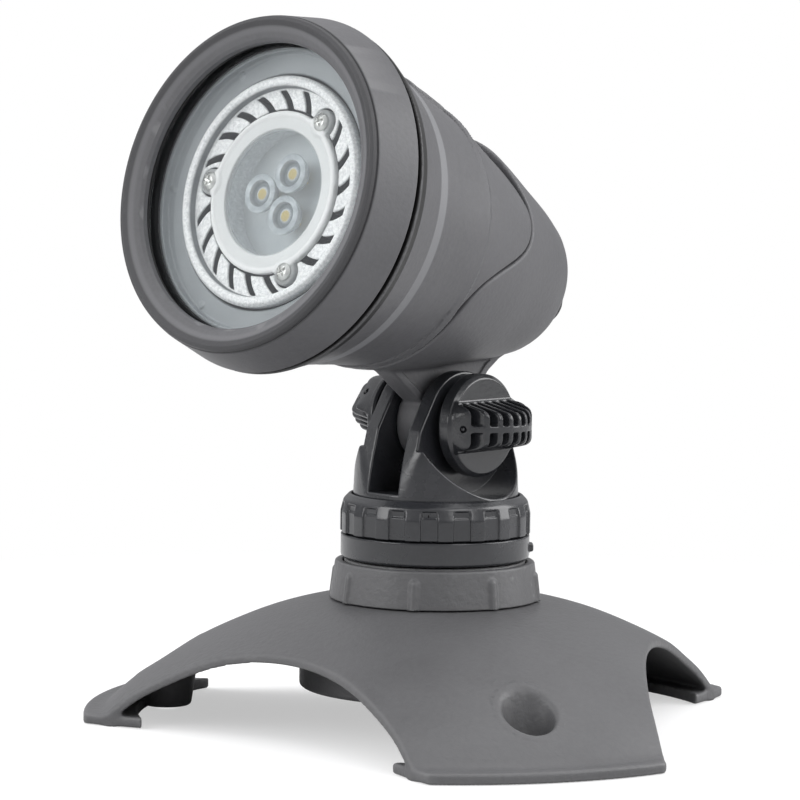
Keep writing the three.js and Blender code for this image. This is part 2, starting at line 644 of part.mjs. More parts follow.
const ledBoard = () => disc(16.0, -9.1, -8.3, MEDIUM);
const ledChip = (angle) => box([-1.2, 1.2], [-1.2, 1.2], [-8.0, -7.2], atLampAngle(angle, CHIP_CIRCLE));
const collimator = (angle) => lathe([
  [0, -6.9], [2.4, -6.9], [3.6, -5.2], [4.3, -3.4], [0, -3.4],
], 24, atLampAngle(angle, CHIP_CIRCLE));

const lampBase = () => lathe([
  [0, -43], [8.5, -43], [9.2, -42.2], [10.4, -34.3], [0, -34.3],
], MEDIUM);
const PIN_OFFSET = 2.67; // half of the standard 5.33 mm pin spacing
const lampPin = (side) => disc(0.75, -50, -43.3, 12, shifted(side * PIN_OFFSET, 0, 0));

function lampSocket() {
  const body = disc(9.0, -57, -44, 24);
  const pinHoles = [-1, 1].map((side) => disc(1.1, -51, -43, 12, shifted(side * PIN_OFFSET, 0, 0)));
  const wireHoles = [-1, 1].map((side) => disc(1.3, -58, -54, 12, shifted(side * 2.4, 0, 0)));
  return cut(body, ...pinHoles, ...wireHoles);
}

// ---------------------------------------------------------------- cable entry
function roundBar(points, radius, sides) {
  const path = new THREE.CatmullRomCurve3(points.map((p) => new THREE.Vector3(...p)));
  const section = new THREE.Shape();
  section.absarc(0, 0, radius, 0, 2 * Math.PI, false);
  return solid(new THREE.ExtrudeGeometry(section, {
    steps: 8, extrudePath: path, curveSegments: sides / 2,
  }));
}

const powerCable = () => roundBar([
  [0, CABLE_DROP, -80.5], [0, CABLE_DROP, -88], [0, CABLE_DROP, -96],
  [-3, -3.6, -101], [-8, -6.6, -103], [-13.5, -10.6, -103.6],
], CABLE_RADIUS, 16);

const coreWire = (side) => roundBar([
  [side * 2.4, 0, -55], [side * 2.4, -0.2, -62], [side * 2.0, -1, -72], [side * 1.4, CABLE_DROP, -80.2],
], 0.9, 10);

const cableGland = () => lathe([
  [4.6, -95.0], [5.6, -95.0], [GLAND_RADIUS, -93.6], [GLAND_RADIUS, -89.0], [4.6, -89.0],
], GLAND_SIDES, shifted(0, CABLE_DROP, 0));
const cableGrommet = () => ring(
  CABLE_RADIUS + 0.4, 4.3, -92.5, -84.6, SMALL, shifted(0, CABLE_DROP, 0),
);

// ---------------------------------------------------------------- assembly
const group = new THREE.Group();
group.add(
  piece('base_plate', basePlate(), GRAINED_GREY()),
  piece('socket_collar', socketCollar(), GRAINED_GREY()),
  piece('swivel_socket', swivelSocket(), GLOSSY_BLACK()),
  piece('friction_ring', frictionRing(), RUBBER()),
  piece('union_nut', unionNut(), GLOSSY_BLACK()),
  piece('clevis', clevis(), GLOSSY_BLACK()),
  piece('tilt_bolt', tiltBolt(), STEEL()),
  piece('counter_knob', counterKnob(), GLOSSY_BLACK()),
  piece('clamp_knob', clampKnob(), GLOSSY_BLACK()),
  piece('clamp_nut', clampNut(), STEEL()),
  piece('knob_washer', knobWasher(), STEEL()),
  piece('bolt_washer', boltWasher(), STEEL()),
);

headGroup.add(
  piece('front_housing', frontHousing(), GRAINED_GREY()),
  piece('rear_cover', rearCover(), GRAINED_GREY()),
  piece('housing_seal', housingSeal(), RUBBER()),
  piece('bezel_ring', bezelRing(), GRAINED_GREY()),
  piece('glass_gasket', glassGasket(), RUBBER()),
  piece('front_glass', frontGlass(), finish(0xeef4f4, 0.05, 0, { transparent: true, opacity: 0.35 })),
  piece('lamp_retainer', lampRetainer(), finish(0x8b8f92, 0.5, 0)),
  piece('lamp_heat_sink', lampHeatSink(), LAMP_SILVER()),
  piece('lamp_lens', lampLens(), finish(0xd5d7d6, 0.35, 0)),
  piece('led_board', ledBoard(), finish(0xf1f1ee, 0.5, 0)),
  piece('lamp_base', lampBase(), finish(0xe6e4de, 0.6, 0)),
  piece('lamp_socket', lampSocket(), finish(0xefece4, 0.6, 0)),
  piece('power_cable', powerCable(), RUBBER()),
  piece('cable_gland', cableGland(), GLOSSY_BLACK()),
  piece('cable_grommet', cableGrommet(), RUBBER()),
  piece('lamp_pin_left', lampPin(-1), STEEL()),
  piece('lamp_pin_right', lampPin(1), STEEL()),
  piece('wire_brown', coreWire(-1), finish(0x6b3d20, 0.6, 0)),
  piece('wire_blue', coreWire(1), finish(0x2a4fa0, 0.6, 0)),
);
LENS_SCREW_ANGLES.forEach((angle, i) => {
  headGroup.add(piece(`lens_screw_${i + 1}`, lensScrew(angle), STEEL()));
});
OPTIC_ANGLES.forEach((angle, i) => {
  headGroup.add(
    piece(`led_chip_${i + 1}`, ledChip(angle), finish(0xf0dc9a, 0.5, 0)),
    piece(`collimator_${i + 1}`, collimator(angle), finish(0xf4f6f6, 0.1, 0)),
  );
});
group.add(headGroup);
group.position.y = -FOOTPRINT_MIDDLE;

export default group;
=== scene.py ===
"""Visual model of an underwater pond light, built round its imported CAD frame.

Shapes are written as signed distances in millimetres (negative inside) and meshed here, so that
every edge has the small radius a moulding has. Places come from the frame's joints and nodes.
"""
import json
import math

import bpy
import numpy as np
from mathutils import Matrix, Vector


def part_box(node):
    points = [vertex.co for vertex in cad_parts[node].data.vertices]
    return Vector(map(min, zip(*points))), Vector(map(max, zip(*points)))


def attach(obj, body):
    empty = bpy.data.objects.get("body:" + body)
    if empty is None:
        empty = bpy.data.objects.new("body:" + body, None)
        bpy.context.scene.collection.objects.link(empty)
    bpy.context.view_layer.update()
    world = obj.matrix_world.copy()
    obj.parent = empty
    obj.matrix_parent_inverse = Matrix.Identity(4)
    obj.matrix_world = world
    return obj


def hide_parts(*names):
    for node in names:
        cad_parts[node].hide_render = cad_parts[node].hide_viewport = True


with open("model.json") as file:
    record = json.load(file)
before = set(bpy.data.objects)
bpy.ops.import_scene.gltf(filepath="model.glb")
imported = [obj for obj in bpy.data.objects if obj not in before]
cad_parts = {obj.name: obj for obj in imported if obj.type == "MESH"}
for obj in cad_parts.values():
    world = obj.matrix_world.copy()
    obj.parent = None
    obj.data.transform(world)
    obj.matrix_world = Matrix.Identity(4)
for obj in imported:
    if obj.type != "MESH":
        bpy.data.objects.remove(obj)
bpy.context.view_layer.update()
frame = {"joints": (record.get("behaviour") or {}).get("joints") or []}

MM = 0.001

# ------------ places read from the frame
JOINTS = {joint["name"]: joint for joint in frame["joints"]}
BASE_AXIS = Vector(JOINTS["collar_turn"]["pos_m"]) * 1000
PIVOT = Vector(JOINTS["head_tilt"]["pos_m"]) * 1000
LAMP_CENTRE = Vector(JOINTS["bezel_turn"]["pos_m"]) * 1000
LAMP_AXIS = Vector(JOINTS["bezel_turn"]["axis"])


def span(node):
    """A CAD node's lowest and highest corners, in millimetres from the base's axis."""
    low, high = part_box(node)
    shift = np.array([BASE_AXIS.x, BASE_AXIS.y, 0])
    return np.array(low) * 1000 - shift, np.array(high) * 1000 - shift


BASE_PLACE = Matrix.Translation((BASE_AXIS.x, BASE_AXIS.y, 0))
PIVOT_HEIGHT = PIVOT.z
HEAD_PLACE = Matrix.Translation(LAMP_CENTRE) @ Matrix.Rotation(
    math.atan2(-LAMP_AXIS.y, LAMP_AXIS.z), 4, "X")
PIVOT_IN_HEAD = HEAD_PLACE.inverted() @ Vector(PIVOT)
FOOT_ANGLES = (-30, 90, 210)
BASE_RADIUS = span("base_plate")[1][1]
COLLAR_LOW, COLLAR_HIGH = 27.9, span("socket_collar")[1][2]
NUT_LOW, NUT_HIGH = span("union_nut")[0][2], span("union_nut")[1][2]


# ------------ signed distances
def join(a, b, r=0.0):
    """Union of two shapes, with a fillet about r wide where they meet."""
    if not r:
        return np.minimum(a, b)
    near = np.maximum(r - np.abs(a - b), 0) / r
    return np.minimum(a, b) - near * near * r / 4


def common(a, b, r=0.0):
    """What two shapes share, with its edges rounded by about r."""
    return -join(-a, -b, r)


def cut(a, b, r=0.0):
    """Shape a with shape b taken away."""
    return -join(-a, b, r)


def polygon_distance(u, v, points):
    """Signed distance from a closed polygon, negative inside."""
    best = np.full(u.shape, 1e9)
    inside = np.zeros(u.shape, bool)
    for (ax, ay), (bx, by) in zip(points, np.roll(points, -1, axis=0)):
        ex, ey = bx - ax, by - ay
        wx, wy = u - ax, v - ay
        along = np.clip((wx * ex + wy * ey) / max(ex * ex + ey * ey, 1e-12), 0, 1)
        best = np.minimum(best, (wx - ex * along) ** 2 + (wy - ey * along) ** 2)
        crosses = (ay <= v) != (by <= v)
        with np.errstate(divide="ignore", invalid="ignore"):
            inside ^= crosses & (u < ax + ex * (v - ay) / (by - ay))
    return np.where(inside, -1.0, 1.0) * np.sqrt(best)


class Outline:
    """A closed outline in a plane, kept as a table of signed distances."""

    def __init__(self, points, step=0.12, margin=5.0):
        points = np.array(points, float)
        self.low = points.min(0) - margin
        count = ((points.max(0) + margin - self.low) / step).astype(int) + 2
        self.step, self.last = step, count - 1
        u, v = np.meshgrid(*[self.low[k] + step * np.arange(count[k]) for k in (0, 1)], indexing="ij")
        self.table = polygon_distance(u, v, points).astype(np.float32)

    def __call__(self, u, v):
        place = [np.clip((w - self.low[k]) / self.step, 0, self.last[k] - 1e-3)
                 for k, w in enumerate((u, v))]
        i, j = place[0].astype(int), place[1].astype(int)
        s, t = place[0] - i, place[1] - j
        table = self.table
        near = (table[i, j] * (1 - s) + table[i + 1, j] * s) * (1 - t)
        near += (table[i, j + 1] * (1 - s) + table[i + 1, j + 1] * s) * t
        past = [w - (self.low[k] + self.step * place[k]) for k, w in enumerate((u, v))]
        return near + np.hypot(*past)


def smooth_curve(points, steps=6):
    """Points along a smooth curve through the given ones."""
    p = [np.array(q, float) for q in points]
    p = [2 * p[0] - p[1], *p, 2 * p[-1] - p[-2]]
    result = []
    for a, b, c, d in zip(p, p[1:], p[2:], p[3:]):
        for t in np.arange(steps) / steps:
            result.append(0.5 * (2 * b + (c - a) * t + (2 * a - 5 * b + 4 * c - d) * t**2
                                 + (3 * b - a - 3 * c + d) * t**3))
    return [*result, p[-2]]


def rounded(points, arc_steps=4):
    """A polygon with rounded corners. Each point's third number is its corner's radius."""
    result = []
    count = len(points)
    for i in range(count):
        near = (points[k % count][:2] for k in (i - 1, i, i + 1))
        before, here, after = (np.array(point, float) for point in near)
        radius = points[i][2]
        to_a, to_b = before - here, after - here
        la, lb = np.linalg.norm(to_a), np.linalg.norm(to_b)
        to_a, to_b = to_a / la, to_b / lb
        turn = math.acos(float(np.clip(to_a @ to_b, -1, 1)))
        reach = min(radius / max(math.tan(turn / 2), 1e-6), 0.49 * la, 0.49 * lb)
        if radius <= 0 or turn > math.pi - 0.05:
            result.append(here)
            continue
        start, end = here + to_a * reach, here + to_b * reach
        for k in range(arc_steps + 1):
            t = k / arc_steps
            result.append((1 - t) ** 2 * start + 2 * t * (1 - t) * here + t**2 * end)
    return result


def profile(points, arc_steps=4, **table):
    """A rounded outline, kept as an Outline."""
    return Outline(rounded(points, arc_steps), **table)


def turned(x, y, degrees):
    """Coordinates in axes turned about Z by an angle."""
    a = math.radians(degrees)
    return x * math.cos(a) + y * math.sin(a), y * math.cos(a) - x * math.sin(a)


def nearest_spoke(x, y, count, start):
    """Coordinates along and across the nearest of a ring's equal spokes, the first one at start degrees."""
    r, angle, turn = np.hypot(x, y), np.arctan2(y, x), 2 * math.pi / count
    angle = (angle - math.radians(start) + turn / 2) % turn - turn / 2
    return r * np.cos(angle), r * np.sin(angle)


# ------------ meshing
def gradient(field, p, h=0.02):
    """How fast the field grows along each axis."""
    result = np.empty_like(p)
    for k in range(3):
        step = np.zeros(3)
        step[k] = h
        result[:, k] = (field(*(p + step).T) - field(*(p - step).T)) / (2 * h)
    return result


def sample(field, axes, block=24):
    """The field's values on a grid, worked out a block of layers at a time."""
    values = np.empty([len(a) for a in axes], np.float32)
    for k in range(0, len(axes[2]), block):
        grids = np.meshgrid(axes[0], axes[1], axes[2][k:k + block], indexing="ij")
        values[:, :, k:k + block] = field(*grids)
    return values


def crossing_points(values, cells):
    """The middle of the points where each cell's edges cross the surface, in cells."""
    total, count = np.zeros((len(cells), 3)), np.zeros(len(cells))
    for axis in range(3):
        for du, dv in ((0, 0), (0, 1), (1, 0), (1, 1)):
            start = np.roll((0, du, dv), axis)
            end = np.roll((1, du, dv), axis)
            a, b = (values[tuple((cells + corner).T)] for corner in (start, end))
            hit = (a < 0) != (b < 0)
            t = a[hit] / (a[hit] - b[hit])
            total[hit] += start + t[:, None] * (end - start)
            count[hit] += 1
    return cells + total / count[:, None]


def net_quads(inside, index):
    """One quad for each grid edge that crosses the surface, facing outwards."""
    quads = []
    for axis in range(3):
        order = (axis, (axis + 1) % 3, (axis + 2) % 3)
        turned, cells = inside.transpose(order), index.transpose(order)
        start, end = turned[:-1, 1:-1, 1:-1], turned[1:, 1:-1, 1:-1]
        i, j, k = np.nonzero(start != end)
        corners = [cells[i, j, k], cells[i, j + 1, k], cells[i, j + 1, k + 1], cells[i, j, k + 1]]
        quad = np.stack(corners, 1)
        outward = start[i, j, k]
        quad[~outward] = quad[~outward][:, ::-1]
        quads.append(quad)
    return np.concatenate(quads)


SETTLING_STEPS = 4  # how often each vertex is moved on to the surface


def surface(field, low, high, cell):
    """Vertices, quads and normals of the surface where field is zero."""
    axes = [np.arange(low[k] - 1.5 * cell, high[k] + 2.5 * cell, cell) for k in range(3)]
    values = sample(field, axes)
    inside = values < 0
    corners = inside.astype(np.int8)
    for axis in range(3):
        corners = np.delete(corners, -1, axis) + np.delete(corners, 0, axis)
    active = (corners > 0) & (corners < 8)
    index = np.full(active.shape, -1)
    index[active] = np.arange(active.sum())
    first = np.array([a[0] for a in axes])
    points = first + cell * crossing_points(values, np.argwhere(active))
    for _ in range(SETTLING_STEPS):
        slope = gradient(field, points)
        steep = np.maximum((slope**2).sum(1), 0.05)
        move = (field(*points.T) / steep)[:, None] * slope
        length = np.linalg.norm(move, axis=1, keepdims=True)
        points -= move * np.minimum(1, 0.5 * cell / np.maximum(length, 1e-9))
    slope = gradient(field, points)
    normals = slope / np.maximum(np.linalg.norm(slope, axis=1, keepdims=True), 1e-9)
    return points, net_quads(inside, index).tolist(), normals


def new_mesh(name, points, faces, normals):
    """A smooth-shaded mesh with its own normals, from arrays in millimetres."""
    mesh = bpy.data.meshes.new(name)
    mesh.from_pydata((points * MM).tolist(), [], faces)
    mesh.shade_smooth()
    mesh.normals_split_custom_set_from_vertices(normals.tolist())
    return mesh


def skin(rows):
    """Faces between neighbouring rings of vertices. A ring drawn in to a point repeats one vertex."""
    faces = []
    for low, high in zip(rows, rows[1:]):
        for a, b, c, d in zip(low, low[1:] + low[:1], high[1:] + high[:1], high):
            corners = dict.fromkeys((a, b, c, d))
            if len(corners) > 2:
                faces.append(tuple(corners))
    return faces


def revolve(outline, segments):
    """Vertices, faces and normals of an outline of (radius, height, corner) points turned about Z."""
    outline = np.array(rounded(outline), float)
    edge = np.roll(outline, -1, axis=0) - outline
    across = np.stack([edge[:, 1], -edge[:, 0]], 1)
    slope = across + np.roll(across, 1, axis=0)
    slope /= np.maximum(np.linalg.norm(slope, axis=1, keepdims=True), 1e-9)
    points, normals, rows = [], [], []
    angles = 2 * math.pi * np.arange(segments) / segments
    turn = np.stack([np.cos(angles), np.sin(angles)], 1)
    for (radius, height), (out, rise) in zip(outline, slope):
        first = len(points)
        if radius < 1e-6:
            points.append((0, 0, height))
            normals.append((0, 0, math.copysign(1, rise)))
            rows.append([first] * segments)
            continue
        points += [(radius * c, radius * s, height) for c, s in turn]
        normals += [(out * c, out * s, rise) for c, s in turn]
        rows.append(list(range(first, first + segments)))
    return np.array(points, float), skin(rows + rows[:1]), np.array(normals, float)


# ------------ base
WALL = 2.0
LIP_HEIGHT = 2.5
DOME_TOP = [(23.4, 27.6), (30, 26.6), (38, 24.3), (46.1, 21), (54, 17.1), (61.3, 12.4), (67.5, 8.2),
            (72, 4.2), (73.6, 2.2)]
ARCH_NEAREST, ARCH_RADIUS, ARCH_HALF = 48.9, 115.0, 45.0
LIP_END, LIP_SIDE = 61.2, 58
POCKET_CIRCLE, SCREW_HOLE = 61.8, 2.3
NECK_RADIUS, BORE_RADIUS = 20.2, 16.2
SKIRT_RADIUS, SKIRT_LOW = 30.0, 8.0


def arch_outline():
    """What is cut away between two feet: a long arc, then straight on to each foot's lip."""
    arc = []
    for across in np.linspace(-ARCH_HALF, ARCH_HALF, 31):
        arc.append((ARCH_NEAREST + ARCH_RADIUS - math.sqrt(ARCH_RADIUS**2 - across**2), across))
    return [(110, -LIP_SIDE), (LIP_END, -LIP_SIDE), *arc, (LIP_END, LIP_SIDE), (110, LIP_SIDE)]


def base_field():
    dome = Outline([(-20, -20), (73.6, -20), *smooth_curve(DOME_TOP)[::-1],
                    (NECK_RADIUS, 27.7), (-20, 27.7)], step=0.25)
    lip = profile([(66, 0, 0.2), (BASE_RADIUS, 0, 0.5), (BASE_RADIUS, LIP_HEIGHT, 0.9),
                   (66, LIP_HEIGHT, 0)], step=0.2)
    skirt = profile([(SKIRT_RADIUS - WALL, SKIRT_LOW, 0.4), (SKIRT_RADIUS, SKIRT_LOW, 0.9),
                     (SKIRT_RADIUS, 40, 0), (SKIRT_RADIUS - WALL, 40, 0)])
    neck = profile([(BORE_RADIUS, 24.5, 0.3), (NECK_RADIUS, 24.5, 0.3), (NECK_RADIUS, 36.7, 0.4),
                    (BORE_RADIUS, 36.7, 0.4)])
    boss = profile([(-8, 0.8, 0), (5.6, 0.8, 1.0), (7.4, 13, 0), (7.8, 40, 0), (-8, 40, 0)])
    pocket = profile([(-8, 3.2, 0), (4.4, 3.2, 0.6), (7.3, 24, 0), (-8, 24, 0)])
    arch = Outline(arch_outline(), step=0.25)

    def field(x, y, z):
        r = np.hypot(x, y)
        filled = dome(r, z)
        solid = cut(filled, filled + WALL, 0.6)
        solid = join(solid, common(common(lip(r, z), filled - 6), -z, 0.5), 1.6)
        solid = join(solid, common(skirt(r, z), filled + 0.6), 0.8)
        for angle in FOOT_ANGLES:
            u, v = turned(x, y, angle)
            away = np.hypot(u - POCKET_CIRCLE, v)
            solid = join(solid, common(boss(away, z), filled + 0.3), 0.8)
            solid = cut(solid, common(pocket(away, z), -u), 1.4)
            solid = common(solid, SCREW_HOLE - away)
            u, v = turned(x, y, angle + 60)
            solid = cut(solid, arch(u, v), 0.9)
        solid = common(solid, -z, 0.3)
        solid = cut(solid, r - BORE_RADIUS, 0.4)
        return join(solid, neck(r, z), 0.5)

    return field


COLLAR_RIBS, RIB_START, RIB_RADIUS = 8, 30, 1.15


def collar_field():
    """A tapered ring with ribs, each one a bar between two points on the ring's side."""
    body = profile([(20.5, COLLAR_LOW, 0.2), (23.4, COLLAR_LOW, 0.25), (22.25, COLLAR_HIGH, 0.55),
                    (20.5, COLLAR_HIGH, 0.3)])
    low, high = np.array([23.05, COLLAR_LOW - 1.0]), np.array([22.25, COLLAR_HIGH - 2.9])
    slope = high - low

    def field(x, y, z):
        out, across = nearest_spoke(x, y, COLLAR_RIBS, RIB_START)
        u, v = out - low[0], z - low[1]
        along = np.clip((u * slope[0] + v * slope[1]) / (slope @ slope), 0, 1)
        rib = np.sqrt((u - along * slope[0])**2 + (v - along * slope[1])**2 + across**2) - RIB_RADIUS
        return join(body(np.hypot(x, y), z), common(rib, COLLAR_LOW - z), 0.5)

    return field


# ------------ swivel and nut
NUT_RADIUS = 21.2
FLUTES, FLUTE_START = 18, -12.5
FLUTE_HALF, NOTCH_HALF = 1.9, 1.55


def nut_field():
    body = profile([(20.0, NUT_LOW, 0.2), (NUT_RADIUS, NUT_LOW, 0.3), (NUT_RADIUS, 47.2, 3.0),
                    (20.55, 49.9, 1.8), (19.3, NUT_HIGH, 0.8), (18.7, NUT_HIGH, 0.25),
                    (18.7, 48.9, 0.2), (20.0, 48.9, 0.2)], 6)
    flute = profile([(20.62, 40, 0), (26, 40, 0), (26, 49.4, 0), (20.62, 49.4, 0.5)])
    notch = profile([(20.3, 47.7, 0.3), (26, 47.7, 0), (26, 49.2, 0), (20.3, 49.2, 0.3)])

    def field(x, y, z):
        out, across = nearest_spoke(x, y, FLUTES, FLUTE_START)
        side = np.abs(across)
        solid = cut(body(np.hypot(x, y), z), common(flute(out, z), side - FLUTE_HALF, 0.3), 0.35)
        return cut(solid, common(notch(out, z), side - NOTCH_HALF, 0.3), 0.3)

    return field


# ------------ clevis
CLEVIS_RADIUS = 18.4
CHEEK_INNER, CHEEK_OUTER, CHEEK_RADIUS = 4.3, 8.0, 11.7
SLOT_FLOOR, FLANGE_TOP = 52.4, 50.5
RECESS_RADIUS, RECESS_DROP = 15.8, 4.9  # the flat that a knob turns against, and how far it goes down
BOLT_HOLE = 2.8


def cheek_outline():
    front = [(-CLEVIS_RADIUS, 46, 0), (-18.1, 51.8, 3), (-16.1, 60.4, 3), (-14.4, 66.3, 2)]
    arc = []
    for degrees in np.linspace(148, 32, 25):
        a = math.radians(degrees)
        arc.append((CHEEK_RADIUS * math.cos(a), PIVOT_HEIGHT + CHEEK_RADIUS * math.sin(a), 0))
    return front + arc + [(-u, v, r) for u, v, r in front[::-1]]


def clevis_field():
    turned_body = profile([(-5, 46.8, 0), (19.7, 46.8, 0.2), (19.7, 48.6, 0.2), (CLEVIS_RADIUS, 48.6, 0),
                           (CLEVIS_RADIUS, 51.6, 1), (16.9, 82, 0), (-5, 82, 0)])
    cheek = profile(cheek_outline())

    def field(x, y, z):
        r, side = np.hypot(x, y), np.abs(x)
        whole = turned_body(r, z)
        solid = join(common(whole, cheek(y, z), 0.7), common(whole, z - FLANGE_TOP))
        solid = cut(solid, common(side - CHEEK_INNER, SLOT_FLOOR - z), 0.5)
        from_pivot = np.hypot(y, z - PIVOT_HEIGHT)
        beside = join(from_pivot - RECESS_RADIUS, PIVOT_HEIGHT - RECESS_DROP - z)
        solid = cut(solid, common(CHEEK_OUTER - side, beside), 0.55)
        return cut(solid, from_pivot - BOLT_HOLE, 0.4)

    return field


# ------------ knobs
KNOB_RADIUS, GRIP_RADIUS = 11.4, 10.8
GRIP_HALF, GRIP_TAPER = 5.7, 2.3  # half the grip's thickness at the disc, and what it loses by its end
FIN_PITCH, FIN_HALF, FIN_SPAN = 2.5, 0.5, 10.0
CLAMP_DISC, COUNTER_DISC, COUNTER_TURN = 3.8, 2.4, -38


def knob_field(face_from, face_to):
    """A knob about the X axis: a flat disc with a half-round finned grip across it."""
    disc = profile([(-5, face_from, 0), (KNOB_RADIUS - 0.3, face_from, 0.3),
                    (KNOB_RADIUS, face_from + 0.5, 0.3), (KNOB_RADIUS, face_to - 0.9, 0.3),
                    (KNOB_RADIUS - 0.9, face_to, 0.5), (-5, face_to, 0)])
    reach = GRIP_RADIUS - 0.5

    def field(x, y, z):
        out = x - face_to + 0.5
        from_axis = np.hypot(y, z)
        plan = np.hypot(common(out, 0), y) - GRIP_RADIUS
        plan = np.where(out < 0, common(np.abs(y) - GRIP_RADIUS, -out - 1.5), plan)
        half = GRIP_HALF - GRIP_TAPER * np.clip(out, 0, reach) / reach
        body = common(plan, (np.abs(z) - half) * 0.97, 1.6)
        nearest = np.abs((y + FIN_PITCH / 2) % FIN_PITCH - FIN_PITCH / 2)
        gap = common(FIN_HALF - nearest, np.abs(y) - FIN_SPAN + FIN_HALF)
        gap = common(common(gap, 0.75 - np.abs(z), 0.5), 0.9 - out, 0.5)
        body = cut(body, gap, 0.35)
        solid = join(disc(from_axis, x), common(body, from_axis - KNOB_RADIUS + 0.4, 0.4), 0.35)
        gate = np.sqrt((x - face_to - 2.6)**2 + (y + 10.2)**2 + z**2)
        return join(cut(solid, gate - 0.75, 0.2), gate - 0.45, 0.1)

    return field


def aimed_knob(field, side, turn):
    """The knob's field placed on the pivot, on one side, with its grip turned."""
    def placed_field(x, y, z):
        u, v = turned(y, z - PIVOT_HEIGHT, turn)
        return field(side * x, u, v)
    return placed_field


# ------------ head shells
# The head is drawn about the lamp axis: +Z forwards, +Y up, 0 at the lamp's front rim.
SAG, SAG_START, WIDENING = 0.0272, -8.0, 0.03
FLANGE_CURVE = [(38.6, -4.9, 0.6), (33.9, -16, 0.5), (33.4, -18.6, 0.5)]
BARREL_CURVE = [(33.4, -18.6), (32, -25), (29.8, -40), (26, -55), (22.5, -66), (19.6, -75), (17.2, -81)]
TAIL_CURVE = [(17.2, -81), (15.9, -83), (13.6, -84.7), (9, -86.7), (4.5, -87.7), (0, -88)]
PANEL_STATIONS = (-60, -55, -48, -40, -33, -28, -6)
PANEL_DROPS = (2.8, 2.5, 2.1, 1.4, 0.75, 0.5, 0.45)  # how far the top panel lies under the round body
CREASE_STATIONS = (-56.2, -49.3, -41.6, -33, -25, -18.4, -8.4)
CREASE_HEIGHTS = (8.5, 9.6, 10.7, 12, 12.9, 12.9, 12.1)
SHELL_WALL = 2.3
HEAD_TAIL = -88.0
PLATE_HEIGHT = 0.9  # of the raised plate on the top panel
SEAM_HALF = 0.22  # half the gap between the two shells
SEAM_TOP = -52.5
SEAM_STEPS = ((-6.3, 56, 5), (21.8, 100, 6.5))  # shift along the axis, angle from the top, softness
PLATE_MIDDLE, PLATE_HALVES, PLATE_CORNER = -28.5, (13.5, 5), 1.5
CABLE_DROP, CABLE_HOLE = -2.1, 4.6


def body_outline():
    curve = smooth_curve(BARREL_CURVE)[1:] + smooth_curve(TAIL_CURVE)[1:]
    points = [(-20, -4.9, 0), *FLANGE_CURVE, *[(*p, 0) for p in curve], (-20, HEAD_TAIL, 0)]
    return profile(points, step=0.15)


def unsagged(x, y, z):
    """Radius about the body's own middle line, which drops towards the tail."""
    behind = common(0, SAG_START - z)
    return np.hypot(x / (1 + WIDENING * join(1, behind / 15)), y + SAG * behind)


def panel_circles():
    """Centre height and radius of the top panel's section along the body."""
    stations = np.linspace(-70, 0, 71)
    curve = np.array([(38.6, 0), (38.6, -4.9), (33.9, -16), *BARREL_CURVE])[::-1]
    radius = np.interp(stations, curve[:, 1], curve[:, 0])
    middle = -SAG * common(0, SAG_START - stations)
    crease = np.interp(stations, CREASE_STATIONS, CREASE_HEIGHTS)
    widening = 1 + WIDENING * np.clip((SAG_START - stations) / 15, 0, 1)
    half_width = widening * np.sqrt(radius**2 - (crease - middle)**2)
    top = radius + middle - np.interp(stations, PANEL_STATIONS, PANEL_DROPS)
    centre = (top**2 - half_width**2 - crease**2) / (2 * (top - crease))
    return stations, centre, top - centre


def seam_distance(x, y, z):
    """How far a point is in front of the joint between the shells, and its degrees from the top."""
    away = np.degrees(np.arctan2(np.abs(x), y))
    seam, per_degree = SEAM_TOP, 0
    for shift, middle, width in SEAM_STEPS:
        done = 1 / (1 + np.exp(-(away - middle) / width))
        seam = seam + shift * done
        per_degree = per_degree + shift * done * (1 - done) / width
    slope = per_degree / np.radians(common(np.hypot(x, y), 10))
    return (z - seam) / np.sqrt(1 + slope**2), away


BODY_OUTLINE = body_outline()
PANEL = panel_circles()


def front_housing_field():
    neck = profile([(31.2, -7, 0), (34.2, -7, 0), (34.2, -0.6, 0.5), (31.2, -0.6, 0.4)])
    sleeve = Outline([(18.8, -60), (20.6, -60), (20.6, -36.4), (30.4, -36.4), (30.4, -34.4),
                      (18.8, -34.4)])

    def field(x, y, z):
        r = unsagged(x, y, z)
        body = BODY_OUTLINE(r, z)
        ahead, away = seam_distance(x, y, z)
        low_side = np.clip((away - 105) / 25, 0, 1) * np.clip((-24 - z) / 10, 0, 1)
        body = body + 0.7 * low_side
        centre, radius = (np.interp(z, PANEL[0], column) for column in PANEL[1:])
        panel = np.hypot(x, y - centre) - radius
        outer = common(body, panel, 0.5)
        solid = cut(outer, common(outer + SHELL_WALL, z + 7))
        solid = common(solid, join(31.2 - np.hypot(x, y), z + 16))
        sideways, along = np.abs(x) - PLATE_HALVES[0], np.abs(z - PLATE_MIDDLE) - PLATE_HALVES[1]
        plate = np.hypot(common(sideways, 0), common(along, 0)) - PLATE_CORNER
        plate = common(common(panel - PLATE_HEIGHT, plate, 0.5), common(-1 - panel, -y))
        solid = join(solid, plate, 0.2)
        solid = common(solid, SEAM_HALF - ahead, 0.9)
        return join(join(solid, neck(np.hypot(x, y), z), 0.3), sleeve(r, z), 0.3)

    return field


# The bracket's web about the pivot: backwards and up in the base's axes, with the head at rest.
WEB = [(-7.2, 3.5, 0), (-8.2, 4.9, 1), (-17.7, 11.9, 1), (-26, 18, 0), (26, 21.5, 0), (20.2, 14.8, 1),
       (14.6, 11.1, 1), (8.6, 4.9, 1), (7.2, 3.5, 0)]
WEB_HALF, TONGUE_HALF, TONGUE_RADIUS = 2.85, 3.9, 9.2
WEB_RIM, WEB_SINK = 1.7, 0.55  # the border left round the web's sunk panel, and its depth
TAIL_FLOOR = -85.0


